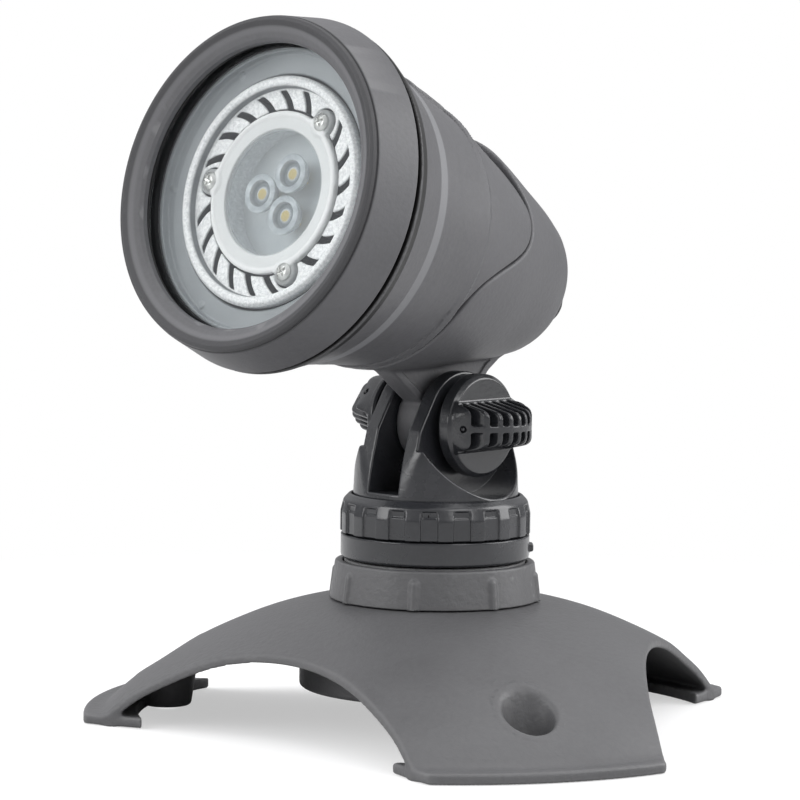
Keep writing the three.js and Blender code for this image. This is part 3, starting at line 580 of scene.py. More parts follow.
def rear_cover_field():
    web = profile(WEB)
    tilt = HEAD_PLACE.to_3x3()
    forward, up = np.array(tilt.col[2]), np.array(tilt.col[1])
    middle = np.array(PIVOT_IN_HEAD)

    def field(x, y, z):
        body = BODY_OUTLINE(unsagged(x, y, z), z)
        ahead, _ = seam_distance(x, y, z)
        inner = common(body + SHELL_WALL, TAIL_FLOOR - z)
        shell = common(cut(body, inner), ahead + SEAM_HALF, 0.8)
        u = (y - middle[1]) * up[1] + (z - middle[2]) * forward[1]
        v = (y - middle[1]) * up[2] + (z - middle[2]) * forward[2]
        side = np.abs(x)
        flat = web(u, v)
        plate = common(flat, side - WEB_HALF, 0.5)
        panel = common(flat + WEB_RIM, WEB_HALF - WEB_SINK - side, 0.4)
        plate = cut(plate, panel, 0.3)
        tongue = common(np.hypot(u, v) - TONGUE_RADIUS, side - TONGUE_HALF, 0.6)
        bracket = join(plate, tongue, 0.5)
        bracket = common(cut(bracket, inner), ahead + SEAM_HALF)
        solid = join(shell, bracket, 0.9)
        solid = cut(solid, np.hypot(u, v) - BOLT_HOLE, 0.3)
        cable_hole = np.hypot(x, y - CABLE_DROP) - CABLE_HOLE
        return cut(solid, common(cable_hole, z + 78), 0.5)

    return field


# ------------ swivel ring
SWIVEL_RADIUS, SWIVEL_LOW, SWIVEL_HIGH = 21.06, 37.0, 42.35
LUG_ANGLE = 42


def swivel_field():
    body = profile([(12.5, 27.5, 0.3), (15.9, 27.5, 0.8), (15.9, SWIVEL_LOW, 0.2),
                    (SWIVEL_RADIUS, SWIVEL_LOW, 0.9), (SWIVEL_RADIUS, SWIVEL_HIGH, 0.3),
                    (19.6, SWIVEL_HIGH, 0.2), (19.6, 45.3, 0.3), (12.5, 45.3, 0.3)])
    lug = profile([(19, 38.2, 0), (21.95, 38.5, 0.5), (21.95, 40.3, 0.6), (19, 40.5, 0)])

    def field(x, y, z):
        r = np.hypot(x, y)
        u, v = turned(x, y, LUG_ANGLE)
        tab = common(lug(u, z), np.abs(v) - 1.7, 0.5)
        return join(body(r, z), tab, 0.3)

    return field


# ------------ lamp
LAMP_TURN = 54.3  # degrees from the side to the first lens screw
SCREW_CIRCLE = 18.6
SLOT_PITCH, FIRST_SLOT = 360 / 21, 0.92
LENS_RADIUS, WINDOW_RADIUS = 17.6, 13.8
OPTIC_START, OPTIC_CIRCLE = 60, 5.2


def lamp_third(x, y):
    """Radius and angle in degrees past the nearest lens screw, for a lamp that repeats three times."""
    return np.hypot(x, y), (np.degrees(np.arctan2(y, x)) - LAMP_TURN) % 120


def screw_distance(x, y):
    r, angle = lamp_third(x, y)
    near = np.radians(join(angle, 120 - angle))
    return np.sqrt(r**2 + SCREW_CIRCLE**2 - 2 * r * SCREW_CIRCLE * np.cos(near))


def slot_distance(x, y):
    """Distance from the slanted cooling slots, which lean further over towards the rim."""
    r, angle = lamp_third(x, y)
    lean = 9 * (common(r - 17.5, 0) / 4.6)**1.3
    past = (angle - lean) % 120 / SLOT_PITCH - FIRST_SLOT
    past = past - np.clip(np.round(past), 0, 5)
    across = np.abs(r * np.sin(np.radians(past * SLOT_PITCH))) - 0.95
    return common(across * 0.95, common(16.5 - r, r - 22.25), 0.4)


def heat_sink_field():
    body = profile([(-5, -34, 0), (11, -34, 0.6), (22.6, -6.5, 0.6), (24.4, -3.4, 0.6),
                    (25, -2.2, 0.4), (25, -0.7, 0.8), (24.3, 0, 0.7), (23.2, 0, 0.5), (22.75, -0.5, 0.3),
                    (22.7, -2.1, 0.15), (18.1, -2.1, 0.15), (18.0, -3.3, 0.1), (14.2, -3.3, 0.3),
                    (14.1, -9.4, 0.4), (-5, -9.4, 0)])

    def field(x, y, z):
        r = np.hypot(x, y)
        solid = body(r, z)
        solid = cut(solid, common(slot_distance(x, y), -6 - z), 0.25)
        solid = cut(solid, common(screw_distance(x, y) - 3.25, -5 - z), 0.25)
        angle = np.degrees(np.arctan2(y, x)) % 12 - 6
        groove = common(np.abs(r * np.radians(angle)) - 0.8, 6.9 + z)
        groove = common(groove, 10.5 - (r - (z + 34) * 0.42))
        return cut(solid, groove, 0.3)

    return field


def lens_field():
    plate = profile([(-5, -3.0, 0), (LENS_RADIUS, -3.0, 0.3), (LENS_RADIUS, -1.5, 0.6), (16.9, -1.3, 0.5),
                     (16.2, -1.65, 0.4), (WINDOW_RADIUS, -1.7, 0.2), (13.5, -1.95, 0.2), (-5, -1.95, 0)])

    def field(x, y, z):
        ear = common(screw_distance(x, y) - 2.85, common(-4.9 - z, z + 1.45), 0.6)
        solid = join(plate(np.hypot(x, y), z), ear, 0.9)
        return cut(solid, screw_distance(x, y) - 1.15, 0.2)

    return field


def lens_screw_field():
    body = profile([(-3, -6.8, 0), (0.9, -6.8, 0.3), (0.9, -1.5, 0.2), (2.0, -1.5, 0.2), (1.95, -1.05, 0.4),
                    (1.2, -0.55, 0.8), (-3, -0.5, 0)], 5, step=0.05, margin=1.5)
    depth = -1.25

    def field(x, y, z):
        u, v = np.abs(x), np.abs(y)
        cross = join(common(u - 1.15, v - 0.26), common(v - 1.15, u - 0.26))
        cross = common(cross, depth + 0.35 * np.hypot(x, y) - z)
        thread = 0.08 * np.sin((z / 0.6 + np.arctan2(y, x) / (2 * math.pi)) * 2 * math.pi)
        shank = np.where(z < -1.9, thread, 0)
        return cut(body(np.hypot(x, y), z) + 0.6 * shank, cross, 0.12)

    return field


COLLIMATOR = [(0, -6.3, 0), (1.2, -6.3, 0.2), (1.6, -6.9, 0.1), (2.4, -6.9, 0.2), (3.1, -6.1, 1),
              (3.8, -4.9, 1), (4.3, -3.75, 0.1), (4.3, -3.35, 0.2), (2.9, -3.35, 0.2),
              (2.5, -4.7, 0.2), (1.4, -4.2, 1), (0, -4.0, 0)]


PIPS, PIP_CIRCLE = 6, 28.9  # small round studs on the retainer


def retainer_field():
    body = profile([(25.5, -2.7, 0.2), (28.8, -2.7, 0.2), (28.8, -12, 0.2), (30.9, -12, 0.2),
                    (30.9, 0.3, 0.2), (30.0, 0.3, 0.2), (29.95, -1.5, 0.4), (25.5, -1.5, 0.3)])

    def field(x, y, z):
        out, across = nearest_spoke(x, y, PIPS, 0)
        pip = common(np.hypot(out - PIP_CIRCLE, across) - 0.85, z + 1.2, 0.3)
        return join(body(np.hypot(x, y), z), common(pip, -2.2 - z), 0.25)

    return field


# ------------ turned rings and bars
BEZEL = [(34.6, -3.9, 0.3), (38.4, -3.9, 0.35), (36.2, 6.1, 0.15), (35.8, 6.2, 0.1),
         (35.8, 6.5, 0.1), (36.0, 6.65, 0.2), (35.7, 7.35, 0.5), (34.9, 7.72, 0.4), (33.1, 6.85, 0.2),
         (31.4, 5.95, 0.5), (30.75, 5.3, 0.3), (30.7, 4.1, 0.25), (31.2, 3.9, 0.1), (34.6, 3.9, 0.2)]
GASKET = [(31.0, -0.3, 0.2), (34.2, -0.3, 0.2), (34.2, 3.6, 0.2), (31.0, 3.6, 0.25), (30.95, 3.15, 0.1),
          (33.5, 3.15, 0.1), (33.5, 0.45, 0.1), (30.95, 0.45, 0.1)]
GLASS = [(0, 0.6, 0), (33.2, 0.6, 0.25), (33.2, 3.0, 0.25), (0, 3.0, 0)]
GROMMET = [(3.6, -92.5, 0.3), (4.3, -92.5, 0.3), (4.3, -84.6, 0.3), (3.6, -84.6, 0.3)]
FRICTION_RING = [(13, 45.5, 0.2), (19.4, 45.5, 0.2), (19.4, 46.5, 0.2), (13, 46.5, 0.2)]


def washer(low, high):
    return [(BOLT_HOLE, low, 0.1), (5.6, low, 0.3), (5.6, high, 0.3), (BOLT_HOLE, high, 0.1)]


def tube(points, radius, segments=24):
    """A round bar along a smooth curve, with rounded ends."""
    path = np.array(smooth_curve(points, 8))
    along = np.gradient(path, axis=0)
    along /= np.linalg.norm(along, axis=1, keepdims=True)
    side = np.array([1.0, 0.0, 0.0]) if abs(along[0][0]) < 0.9 else np.array([0.0, 1.0, 0.0])
    angles = 2 * math.pi * np.arange(segments) / segments
    edge = 0.25 * radius
    middle = [(i, edge if i == 0 else 0, 1.0) for i in range(len(path) - 1)]
    rings = [(0, 0, 0.02), (0, 0, 0.85), *middle, (-1, -edge, 1.0), (-1, 0, 0.85), (-1, 0, 0.02)]
    points, normals = [], []
    for place, shift, size in rings:
        forward = along[place]
        side = side - forward * (side @ forward)
        side /= np.linalg.norm(side)
        other = np.cross(forward, side)
        out = np.cos(angles)[:, None] * side + np.sin(angles)[:, None] * other
        points.append(path[place] + shift * forward + out * radius * size)
        normals.append(out if size > 0.9 else out * 0.1 + forward * (-1 if place == 0 else 1))
    rows = [list(range(k * segments, (k + 1) * segments)) for k in range(len(rings))]
    return np.concatenate(points), [rows[0][::-1], rows[-1], *skin(rows)], np.concatenate(normals)


CABLE = [(0, CABLE_DROP, -80.5), (0, CABLE_DROP, -88), (0, CABLE_DROP, -96), (-3, -3.6, -101),
         (-8, -6.6, -103), (-13.5, -10.6, -103.6)]
CABLE_RADIUS, CORE_RADIUS = 3.2, 0.9
GLAND_FLATS, GLAND_HALF = 12, 6.35


def gland_field():
    body = profile([(4.6, -95.0, 0.2), (5.6, -95.0, 0.5), (6.6, -93.4, 0.8), (6.6, -89.0, 0.3),
                    (4.6, -89.0, 0.2)])

    def field(x, y, z):
        y = y - CABLE_DROP
        out, _ = nearest_spoke(x, y, GLAND_FLATS, 15)
        return common(body(np.hypot(x, y), z), out - GLAND_HALF, 0.3)

    return field


# ------------ looks
SHADER = "Principled BSDF"


def fill(tree, target, inputs):
    """Gives each of a node's inputs a number, a colour or another node's output."""
    for key, value in inputs.items():
        socket = target.inputs[key]
        if isinstance(value, bpy.types.NodeSocket):
            tree.links.new(value, socket)
        else:
            socket.default_value = (*value, 1) if isinstance(value, tuple) else value


def add_node(tree, kind, inputs=None, **settings):
    """A new shader node with its settings and inputs."""
    made = tree.nodes.new("ShaderNode" + kind)
    for name, value in settings.items():
        setattr(made, name, value)
    fill(tree, made, inputs or {})
    return made


def material(name, build):
    """A new material, whose shader is set up by a function of the node tree."""
    made = bpy.data.materials.new(name)
    made.use_nodes = True
    tree = made.node_tree
    tree.nodes.clear()
    shader = add_node(tree, "BsdfPrincipled", name=SHADER)
    add_node(tree, "OutputMaterial", {"Surface": shader.outputs[0]})
    build(tree)
    return made


def mix_surface(tree, share, first, second):
    """Puts a mix of two shaders on the surface, or on the world."""
    output = next(node for node in tree.nodes if node.type.startswith("OUTPUT_"))
    mixed = add_node(tree, "MixShader", {"Fac": share, 1: first.outputs[0], 2: second.outputs[0]})
    fill(tree, output, {"Surface": mixed.outputs[0]})


def noise(tree, scale, detail=3.0, roughness=0.55):
    """Noise over the object, with scale in features for each metre."""
    where = add_node(tree, "TexCoord").outputs["Object"]
    inputs = {"Vector": where, "Scale": scale, "Detail": detail, "Roughness": roughness}
    return add_node(tree, "TexNoise", inputs).outputs["Fac"]


def ramp(tree, value, low, high, start=0.3, end=0.7):
    """Turns a value between start and end into one between low and high."""
    limits = {"From Min": start, "From Max": end, "To Min": low, "To Max": high}
    return add_node(tree, "MapRange", {"Value": value, **limits}).outputs[0]


def blend(tree, factor, first, second):
    return add_node(tree, "Mix", {"Factor": factor, 6: first, 7: second}, data_type="RGBA").outputs[2]


def bump(tree, height, distance):
    node = add_node(tree, "Bump", {"Height": height, "Distance": distance, "Strength": 1.0})
    fill(tree, tree.nodes[SHADER], {"Normal": node.outputs[0]})


def paint(tree, colour, roughness, more=None):
    """Sets the shader's colour and roughness, and more of its inputs if they are given."""
    fill(tree, tree.nodes[SHADER], {"Base Color": colour, "Roughness": roughness, **(more or {})})


def own_place(tree):
    """Distance from the piece's own Z axis, and height along it, in metres."""
    where = add_node(tree, "TexCoord").outputs["Object"]
    x, y, z = add_node(tree, "SeparateXYZ", {0: where}).outputs
    flat = add_node(tree, "CombineXYZ", {"X": x, "Y": y}).outputs[0]
    return add_node(tree, "VectorMath", {0: flat}, operation="LENGTH").outputs["Value"], z


def calculate(tree, operation, first, second):
    return add_node(tree, "Math", {0: first, 1: second}, operation=operation).outputs[0]


def multiply(tree, first, second):
    return calculate(tree, "MULTIPLY", first, second)


def beyond(tree, place, start, end):
    """A mask that grows from 0 to 1 between two places in millimetres."""
    return ramp(tree, place, 0, 1, start * MM, end * MM)


def short_of(tree, place, start, end):
    """A mask that falls from 1 to 0 between two places in millimetres."""
    return ramp(tree, place, 1, 0, start * MM, end * MM)


def between(tree, place, low, high):
    """A mask that is 1 between two places, each given as where its soft edge starts and ends."""
    return multiply(tree, beyond(tree, place, *low), short_of(tree, place, *high))


def moulded_plastic(colour, edge_highlight, roughness, grain_size, grain_depth):
    """Moulded plastic: fine grain, cloudy tone, and a painted highlight that makes its sharp edges a little
    lighter.
    """
    dark, light, grain_tone = (tuple(c * share for c in colour) for share in (0.9, 1.1, 1.35))

    def build(tree):
        cloud = noise(tree, 45, 4)
        grain = noise(tree, 1 / grain_size, 2, 0.6)
        edge = add_node(tree, "NewGeometry").outputs["Pointiness"]
        base = blend(tree, ramp(tree, cloud, 0, 1), dark, light)
        base = blend(tree, ramp(tree, grain, 0, 0.3), base, grain_tone)
        # painted highlight: edges found by pointiness are blended towards the lighter edge tone
        base = blend(tree, ramp(tree, edge, 0, 0.6, 0.52, 0.6), base, edge_highlight)
        paint(tree, base, ramp(tree, cloud, roughness - 0.05, roughness + 0.06))
        bump(tree, grain, grain_depth)
    return build


def head_plastic(tree):
    """Moulded plastic with painted light on the bevel behind the flange, painted shade on the bezel's outer
    roll with a painted highlight on its crease, and painted near-black shade in the groove behind the
    bezel.
    """
    moulded_plastic((0.085, 0.085, 0.09), (0.16, 0.16, 0.165), 0.5, 0.0011, 0.00007)(tree)
    radius, height = own_place(tree)
    # painted light: the bevel band behind the flange is painted paler, standing in for the light it catches
    bevel = between(tree, height, (-18.8, -18.4), (-16.2, -15.9))
    # painted shade on the bezel's outer roll, and a painted highlight on the crease just inside it
    rim = beyond(tree, height, 5.7, 6.2)
    roll = multiply(tree, rim, beyond(tree, radius, 33.3, 33.9))
    crease = multiply(tree, rim, between(tree, radius, (32.3, 32.8), (33.3, 33.9)))
    # painted shade: the deep groove between the bezel and the housing is painted near black
    groove = between(tree, height, (-8.1, -7.9), (-4.0, -3.8))
    groove = multiply(tree, groove, short_of(tree, radius, 38.1, 38.35))
    shader = tree.nodes[SHADER]
    colour = shader.inputs["Base Color"].links[0].from_socket
    # tones of the painted light and shade: paler bevel, darker roll, lighter crease, near-black groove
    for mask, tone in ((bevel, (0.17, 0.172, 0.18)), (roll, (0.038, 0.038, 0.041)),
                       (crease, (0.11, 0.11, 0.116)), (groove, (0.004, 0.004, 0.004))):
        colour = blend(tree, mask, colour, tone)
    fill(tree, shader, {"Base Color": colour})


def glossy_plastic(tree):
    cloud = noise(tree, 60, 5, 0.6)
    colour = blend(tree, ramp(tree, cloud, 0, 1), (0.014, 0.015, 0.017), (0.026, 0.027, 0.031))
    paint(tree, colour, ramp(tree, cloud, 0.17, 0.3), {"Specular IOR Level": 0.7})
    bump(tree, noise(tree, 900, 2), 0.00004)


def rubber(tree):
    cloud = noise(tree, 80, 3)
    colour = blend(tree, cloud, (0.005, 0.005, 0.005), (0.014, 0.014, 0.015))
    paint(tree, colour, ramp(tree, cloud, 0.5, 0.75))
    bump(tree, noise(tree, 1500, 3), 0.00005)


def cast_silver(tree):
    """Pale speckled casting, with painted shade down in its slots and on its bowl's wall, and shinier
    inside the bowl.
    """
    radius, height = own_place(tree)
    speckle = noise(tree, 1600, 3, 0.7)
    cloud = noise(tree, 120, 3)
    colour = blend(tree, ramp(tree, speckle, 0, 1, 0.35, 0.65), (0.66, 0.67, 0.68), (0.97, 0.97, 0.97))
    # painted shade: the slots below the rim and the rim's inner wall are painted dark
    deep = short_of(tree, height, -2.65, -2.35)
    slots = multiply(tree, deep, beyond(tree, radius, 15.4, 16.2))
    wall = between(tree, radius, (22.4, 22.6), (23.0, 23.2))
    wall = multiply(tree, wall, short_of(tree, height, -0.9, -0.3))
    bowl = multiply(tree, short_of(tree, radius, 14.8, 15.6), deep)
    colour = blend(tree, wall, colour, (0.18, 0.19, 0.2))
    colour = blend(tree, slots, colour, (0.035, 0.037, 0.04))
    paint(tree, colour, ramp(tree, cloud, 0.32, 0.48), {"Metallic": ramp(tree, bowl, 0, 0.1)})
    bump(tree, speckle, 0.00006)


def plain(low, high, scale, smooth, rough, depth=0.00003, metallic=0.0):
    """A surface whose colour and polish drift between two values, with a fine texture."""
    def build(tree):
        cloud = noise(tree, scale, 4)
        colour = blend(tree, ramp(tree, cloud, 0, 1), low, high)
        paint(tree, colour, ramp(tree, cloud, smooth, rough), {"Metallic": metallic})
        bump(tree, noise(tree, 1300, 3), depth)
    return build


def see_through(tree, share, tint):
    """Lets light straight through, except for the given share of the shader."""
    mix_surface(tree, share, add_node(tree, "BsdfTransparent", {"Color": tint}), tree.nodes[SHADER])


def facing(tree, blend):
    return add_node(tree, "LayerWeight", {"Blend": blend}).outputs["Facing"]


def window_glass(tree):
    """Clear where it is looked at squarely, and a mirror at a slant."""
    smudge = noise(tree, 70, 4)
    colour = blend(tree, smudge, (0.80, 0.84, 0.87), (0.9, 0.92, 0.94))
    paint(tree, colour, ramp(tree, smudge, 0.02, 0.06), {"Metallic": 1})
    see_through(tree, ramp(tree, facing(tree, 0.25), 0.03, 0.4, 0, 1), (0.985, 0.992, 0.99))


def clear_optic(tree):
    """A moulded optic with painted reflections: a bright swirled rim, a darker ring, and a painted image of
    the yellow chip gathered in its middle.
    """
    radius, _ = own_place(tree)
    swirl = noise(tree, 260, 3, 0.6)
    # painted reflection: the pale swirl and the darker ring stand in for the optic's inner reflections
    colour = blend(tree, ramp(tree, swirl, 0, 1, 0.35, 0.65), (0.62, 0.64, 0.65), (0.96, 0.96, 0.95))
    colour = blend(tree, between(tree, radius, (1.3, 1.8), (2.6, 3.0)), colour, (0.34, 0.36, 0.37))
    # painted image of the yellow chip, as the optic gathers it in its middle
    colour = blend(tree, short_of(tree, radius, 1.0, 1.4), colour, (0.93, 0.68, 0.22))
    paint(tree, colour, ramp(tree, swirl, 0.04, 0.14))
    see_through(tree, ramp(tree, swirl, 0.78, 0.92), (0.97, 0.98, 0.97))


def frosted_lens(tree):
    """Frosted round the outside, with a clear window in the middle."""
    radius, _ = own_place(tree)
    bead = between(tree, radius, (16.1, 16.6), (17.7, 18.1))
    colour = blend(tree, noise(tree, 90, 3), (0.72, 0.73, 0.73), (0.8, 0.81, 0.81))
    colour = blend(tree, bead, colour, (0.9, 0.9, 0.9))
    paint(tree, colour, ramp(tree, radius, 0.06, 0.42, 13.4 * MM, 13.9 * MM))
    frosted = ramp(tree, radius, 0, 0.86, 13.3 * MM, 14.0 * MM)
    ear = ramp(tree, radius, 1, 0.5, 17.6 * MM, 18.2 * MM)
    gleam = ramp(tree, facing(tree, 0.4), 0.04, 0.35, 0.1, 1)
    bump(tree, noise(tree, 1200, 3), 0.00002)
    share = calculate(tree, "MAXIMUM", multiply(tree, frosted, ear), gleam)
    see_through(tree, share, (0.95, 0.97, 0.985))


LOOKS = {
    "head_grey": head_plastic,
    "base_grey": moulded_plastic((0.085, 0.085, 0.088), (0.17, 0.17, 0.17), 0.47, 0.0013, 0.00013),
    "glossy_black": glossy_plastic,
    "rubber": rubber,
    "retainer_grey": plain((0.30, 0.32, 0.335), (0.35, 0.37, 0.385), 60, 0.35, 0.5),
    "lamp_silver": cast_silver,
    "lens_frosted": frosted_lens,
    "clear_glass": window_glass,
    "clear_optic": clear_optic,
    "steel": plain((0.55, 0.55, 0.53), (0.78, 0.78, 0.76), 300, 0.22, 0.38, 0.00004, 0.9),
    "board_white": plain((0.66, 0.67, 0.67), (0.8, 0.8, 0.78), 150, 0.35, 0.5),
    "led_yellow": plain((0.85, 0.58, 0.12), (0.95, 0.74, 0.24), 900, 0.2, 0.35),
    "ceramic_white": plain((0.68, 0.66, 0.61), (0.8, 0.78, 0.74), 120, 0.45, 0.65, 0.00008),
    "wire_brown": plain((0.10, 0.035, 0.012), (0.16, 0.06, 0.022), 200, 0.35, 0.5),
    "wire_blue": plain((0.012, 0.05, 0.25), (0.02, 0.08, 0.36), 200, 0.35, 0.5),
}
MATERIALS = {name: material(name, build) for name, build in LOOKS.items()}


# ------------ pieces
SLOTS = {"head_grey": "grained_grey", "base_grey": "grained_grey", "rubber": "rubber_black"}


def add_object(name, data):
    made = bpy.data.objects.new(name, data)
    bpy.context.scene.collection.objects.link(made)
    return made


def add_piece(name, node, body, look, geometry, place=None):
    """A new piece that rides on a CAD body and stands for a CAD node."""
    if place is None:
        place = HEAD_PLACE if body in ("head", "bezel") else BASE_PLACE
    piece = add_object(name, new_mesh(name, *geometry))
    piece.matrix_world = Matrix.Translation(place.translation * MM) @ place.to_3x3().to_4x4()
    piece.data.materials.append(MATERIALS[look])
    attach(piece, body)
    SLOTS.get(look, look)
    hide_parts(node)


def about_axis(radius, low, high):
    """Corners of the space that a round piece fills about its own axis."""
    return (-radius, -radius, low), (radius, radius, high)


def on_circle(radius, degrees):
    """A place on a circle about the lamp's axis."""
    angle = math.radians(degrees)
    return HEAD_PLACE @ Matrix.Translation((radius * math.cos(angle), radius * math.sin(angle), 0))


def build_base():
    shell = surface(base_field(), *span("base_plate"), 0.6)
    add_piece("base_shell", "base_plate", "base", "base_grey", shell)
    low, high = span("socket_collar")
    collar = surface(collar_field(), low - 1, high, 0.3)
    add_piece("grip_collar", "socket_collar", "collar", "base_grey", collar)
    low, high = span("swivel_socket")
    ring = surface(swivel_field(), low - 1, high + (1, 1, 0), 0.3)
    add_piece("swivel_ring", "swivel_socket", "base", "glossy_black", ring)
    add_piece("friction_washer", "friction_ring", "base", "rubber", revolve(FRICTION_RING, 96))


def build_joint():
    nut = surface(nut_field(), *span("union_nut"), 0.25)
    add_piece("fluted_nut", "union_nut", "nut", "glossy_black", nut)
    yoke = surface(clevis_field(), *span("clevis"), 0.3)
    add_piece("yoke", "clevis", "yoke", "glossy_black", yoke)
    low, high = span("clamp_knob")
    knob = aimed_knob(knob_field(low[0], low[0] + CLAMP_DISC), 1, 0)
    add_piece("finned_clamp_knob", "clamp_knob", "knob", "glossy_black", surface(knob, low, high, 0.2))
    low, high = span("counter_knob")
    knob = aimed_knob(knob_field(-high[0], -high[0] + COUNTER_DISC), -1, COUNTER_TURN)
    add_piece("finned_counter_knob", "counter_knob", "bolt", "glossy_black", surface(knob, low, high, 0.2))
    on_pivot = Matrix.Translation(PIVOT) @ Matrix.Rotation(math.pi / 2, 4, "Y")
    for node in ("knob_washer", "bolt_washer"):
        low, high = span(node)
        ring = revolve(washer(low[0], high[0]), 64)
        add_piece(node + "_turned", node, "yoke", "steel", ring, on_pivot)


def build_head():
    front = surface(front_housing_field(), *about_axis(38.7, -64, 0), 0.5)
    add_piece("front_shell", "front_housing", "head", "head_grey", front)
    tail = surface(rear_cover_field(), (-33, -50, -89), (33, 32, -34), 0.5)
    add_piece("tail_shell", "rear_cover", "head", "head_grey", tail)
    add_piece("front_bezel", "bezel_ring", "bezel", "head_grey", revolve(BEZEL, 192))
    add_piece("gasket", "glass_gasket", "head", "rubber", revolve(GASKET, 192))
    add_piece("window", "front_glass", "head", "clear_glass", revolve(GLASS, 192))
    ring = surface(retainer_field(), *about_axis(31, -12.1, 0.4), 0.4)
    add_piece("retaining_ring", "lamp_retainer", "head", "retainer_grey", ring)


def build_lamp():
    casting = surface(heat_sink_field(), *about_axis(25, -34.1, 0.1), 0.32)
    add_piece("lamp_casting", "lamp_heat_sink", "head", "lamp_silver", casting)
    lens = surface(lens_field(), *about_axis(21.6, -5, -1.2), 0.28)
    add_piece("lens_plate", "lamp_lens", "head", "lens_frosted", lens)
    screw = surface(lens_screw_field(), *about_axis(2.1, -6.9, -0.4), 0.09)
    cup = revolve(COLLIMATOR, 72)
    for i in range(3):
        slot_turn = Matrix.Rotation(math.radians(25 + 50 * i), 4, "Z")
        place = on_circle(SCREW_CIRCLE, LAMP_TURN + 120 * i) @ slot_turn
        add_piece(f"pan_screw_{i + 1}", f"lens_screw_{i + 1}", "head", "steel", screw, place)
        place = on_circle(OPTIC_CIRCLE, OPTIC_START + 120 * i)
        add_piece(f"optic_cup_{i + 1}", f"collimator_{i + 1}", "head", "clear_optic", cup, place)


def build_cable():
    add_piece("mains_cable", "power_cable", "head", "rubber", tube(CABLE, CABLE_RADIUS))
    gland = surface(gland_field(), (-6.7, -8.8, -95.1), (6.7, 4.6, -88.9), 0.25)
    add_piece("gland_nut", "cable_gland", "head", "glossy_black", gland)
    lowered = HEAD_PLACE @ Matrix.Translation((0, CABLE_DROP, 0))
    add_piece("cable_sleeve", "cable_grommet", "head", "rubber", revolve(GROMMET, 64), lowered)
    for node, side in (("wire_brown", -1), ("wire_blue", 1)):
        path = [(side * 2.4, 0, -55), (side * 2.4, -0.2, -62), (side * 2.0, -1, -72),
                (side * 1.4, CABLE_DROP, -80.2)]
        add_piece(node + "_core", node, "head", node, tube(path, CORE_RADIUS, 12))


def finish_plain_nodes():
    """Gives the CAD nodes that stay as they are their own material."""
    looks = {
        "steel": "tilt_bolt clamp_nut lamp_pin_left lamp_pin_right",
        "rubber": "housing_seal", "board_white": "led_board",
        "ceramic_white": "lamp_base lamp_socket",
        "led_yellow": "led_chip_1 led_chip_2 led_chip_3",
    }
    for look, nodes in looks.items():
        for node in nodes.split():
            mesh = bpy.data.objects[node].data
            mesh.materials.clear()
            mesh.materials.append(MATERIALS[look])


# ------------ studio, in metres
LAMPS = (  # name, place, width, height, watts, seen in mirroring surfaces
    ("left_side", (-0.95, -0.45, 0.55), 0.8, 0.9, 9, False),
    ("right_side", (0.75, 0.75, 0.55), 0.8, 0.9, 9, True),
    ("right_front", (0.95, -0.25, 0.6), 0.5, 0.7, 3, True),
    ("low_front", (-0.35, -1.0, 0.5), 0.6, 0.6, 4.5, True),
    ("overhead", (0.0, 0.0, 1.2), 0.9, 0.9, 4, True),
)
AIM = Vector((0, 0, 0.08))
EYE = Vector((0.51639, -0.59295, 0.13585))  # from the base's axis
EYE_RIGHT, EYE_UP = Vector((0.74647, 0.66530, 0.01261)), Vector((-0.06330, 0.05214, 0.99663))
LENS, SENSOR = 159.5, 36.0  # in millimetres
FLOOR_REACH = 3.0


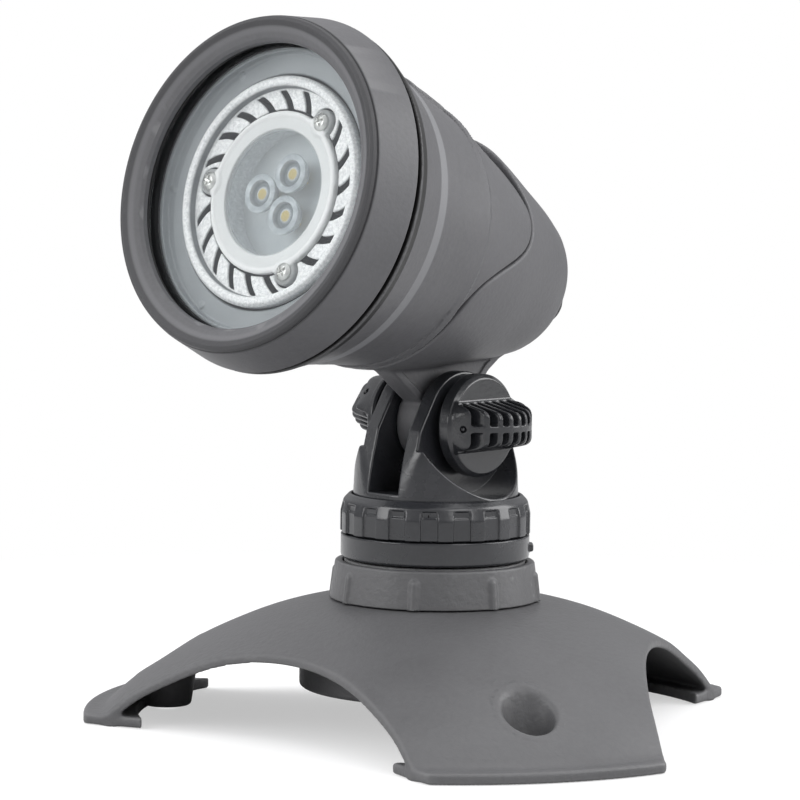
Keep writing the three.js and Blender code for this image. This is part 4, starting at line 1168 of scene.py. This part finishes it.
def studio_world():
    """White where the camera looks straight at it, and a dim graded room for everything else."""
    world = bpy.data.worlds.new("studio")
    world.use_nodes = True
    tree = world.node_tree
    room = tree.nodes["Background"]
    where = add_node(tree, "TexCoord").outputs["Generated"]
    height = add_node(tree, "SeparateXYZ", {0: where}).outputs["Z"]
    tone = blend(tree, ramp(tree, height, 0, 1, -0.15, 0.7), (0.14, 0.14, 0.145), (0.9, 0.9, 0.92))
    fill(tree, room, {"Color": tone})
    seen = add_node(tree, "LightPath").outputs["Is Camera Ray"]
    mix_surface(tree, seen, room, add_node(tree, "Background", {"Color": (1, 1, 1)}))
    return world


def floor_paper(tree):
    """White paper that fades into the background, and is greyer to the light than to the camera."""
    seen = add_node(tree, "LightPath").outputs["Is Camera Ray"]
    tone = blend(tree, seen, (0.55, 0.55, 0.55), (0.97, 0.97, 0.97))
    paint(tree, tone, 0.9, {"Specular IOR Level": 0})
    distance, _ = own_place(tree)
    faded = multiply(tree, ramp(tree, distance, 0.5, 1, 0.06, 0.3), seen)
    mix_surface(tree, faded, tree.nodes[SHADER], add_node(tree, "Emission"))


def place_camera():
    """The camera at the photo's viewing angle."""
    camera = bpy.data.cameras.new("camera")
    camera.lens, camera.sensor_width, camera.clip_start = LENS, SENSOR, 0.05
    holder = add_object("camera", camera)
    axes = Matrix((EYE_RIGHT, EYE_UP, EYE_RIGHT.cross(EYE_UP))).transposed().to_4x4()
    eye = EYE + Vector((BASE_AXIS.x, BASE_AXIS.y, 0)) * MM
    holder.matrix_world = Matrix.Translation(eye) @ axes
    bpy.context.scene.camera = holder


def place_lamps():
    for name, spot, width, height, power, mirrored in LAMPS:
        light = bpy.data.lights.new(name, "AREA")
        light.shape, light.size, light.size_y = "RECTANGLE", width, height
        light.energy = power
        holder = add_object(name, light)
        holder.visible_glossy = mirrored
        facing_aim = (AIM - Vector(spot)).to_track_quat("-Z", "Y").to_matrix().to_4x4()
        holder.matrix_world = Matrix.Translation(spot) @ facing_aim


def place_floor():
    mesh = bpy.data.meshes.new("floor")
    corners = [(FLOOR_REACH * x, FLOOR_REACH * y, 0) for x, y in ((-1, -1), (1, -1), (1, 1), (-1, 1))]
    mesh.from_pydata(corners, [], [(0, 1, 2, 3)])
    mesh.materials.append(material("floor_paper", floor_paper))
    add_object("floor", mesh)


build_base()
build_joint()
build_head()
build_lamp()
build_cable()
finish_plain_nodes()
place_camera()
place_lamps()
place_floor()
bpy.context.scene.view_settings.view_transform = "Standard"
bpy.context.scene.world = studio_world()
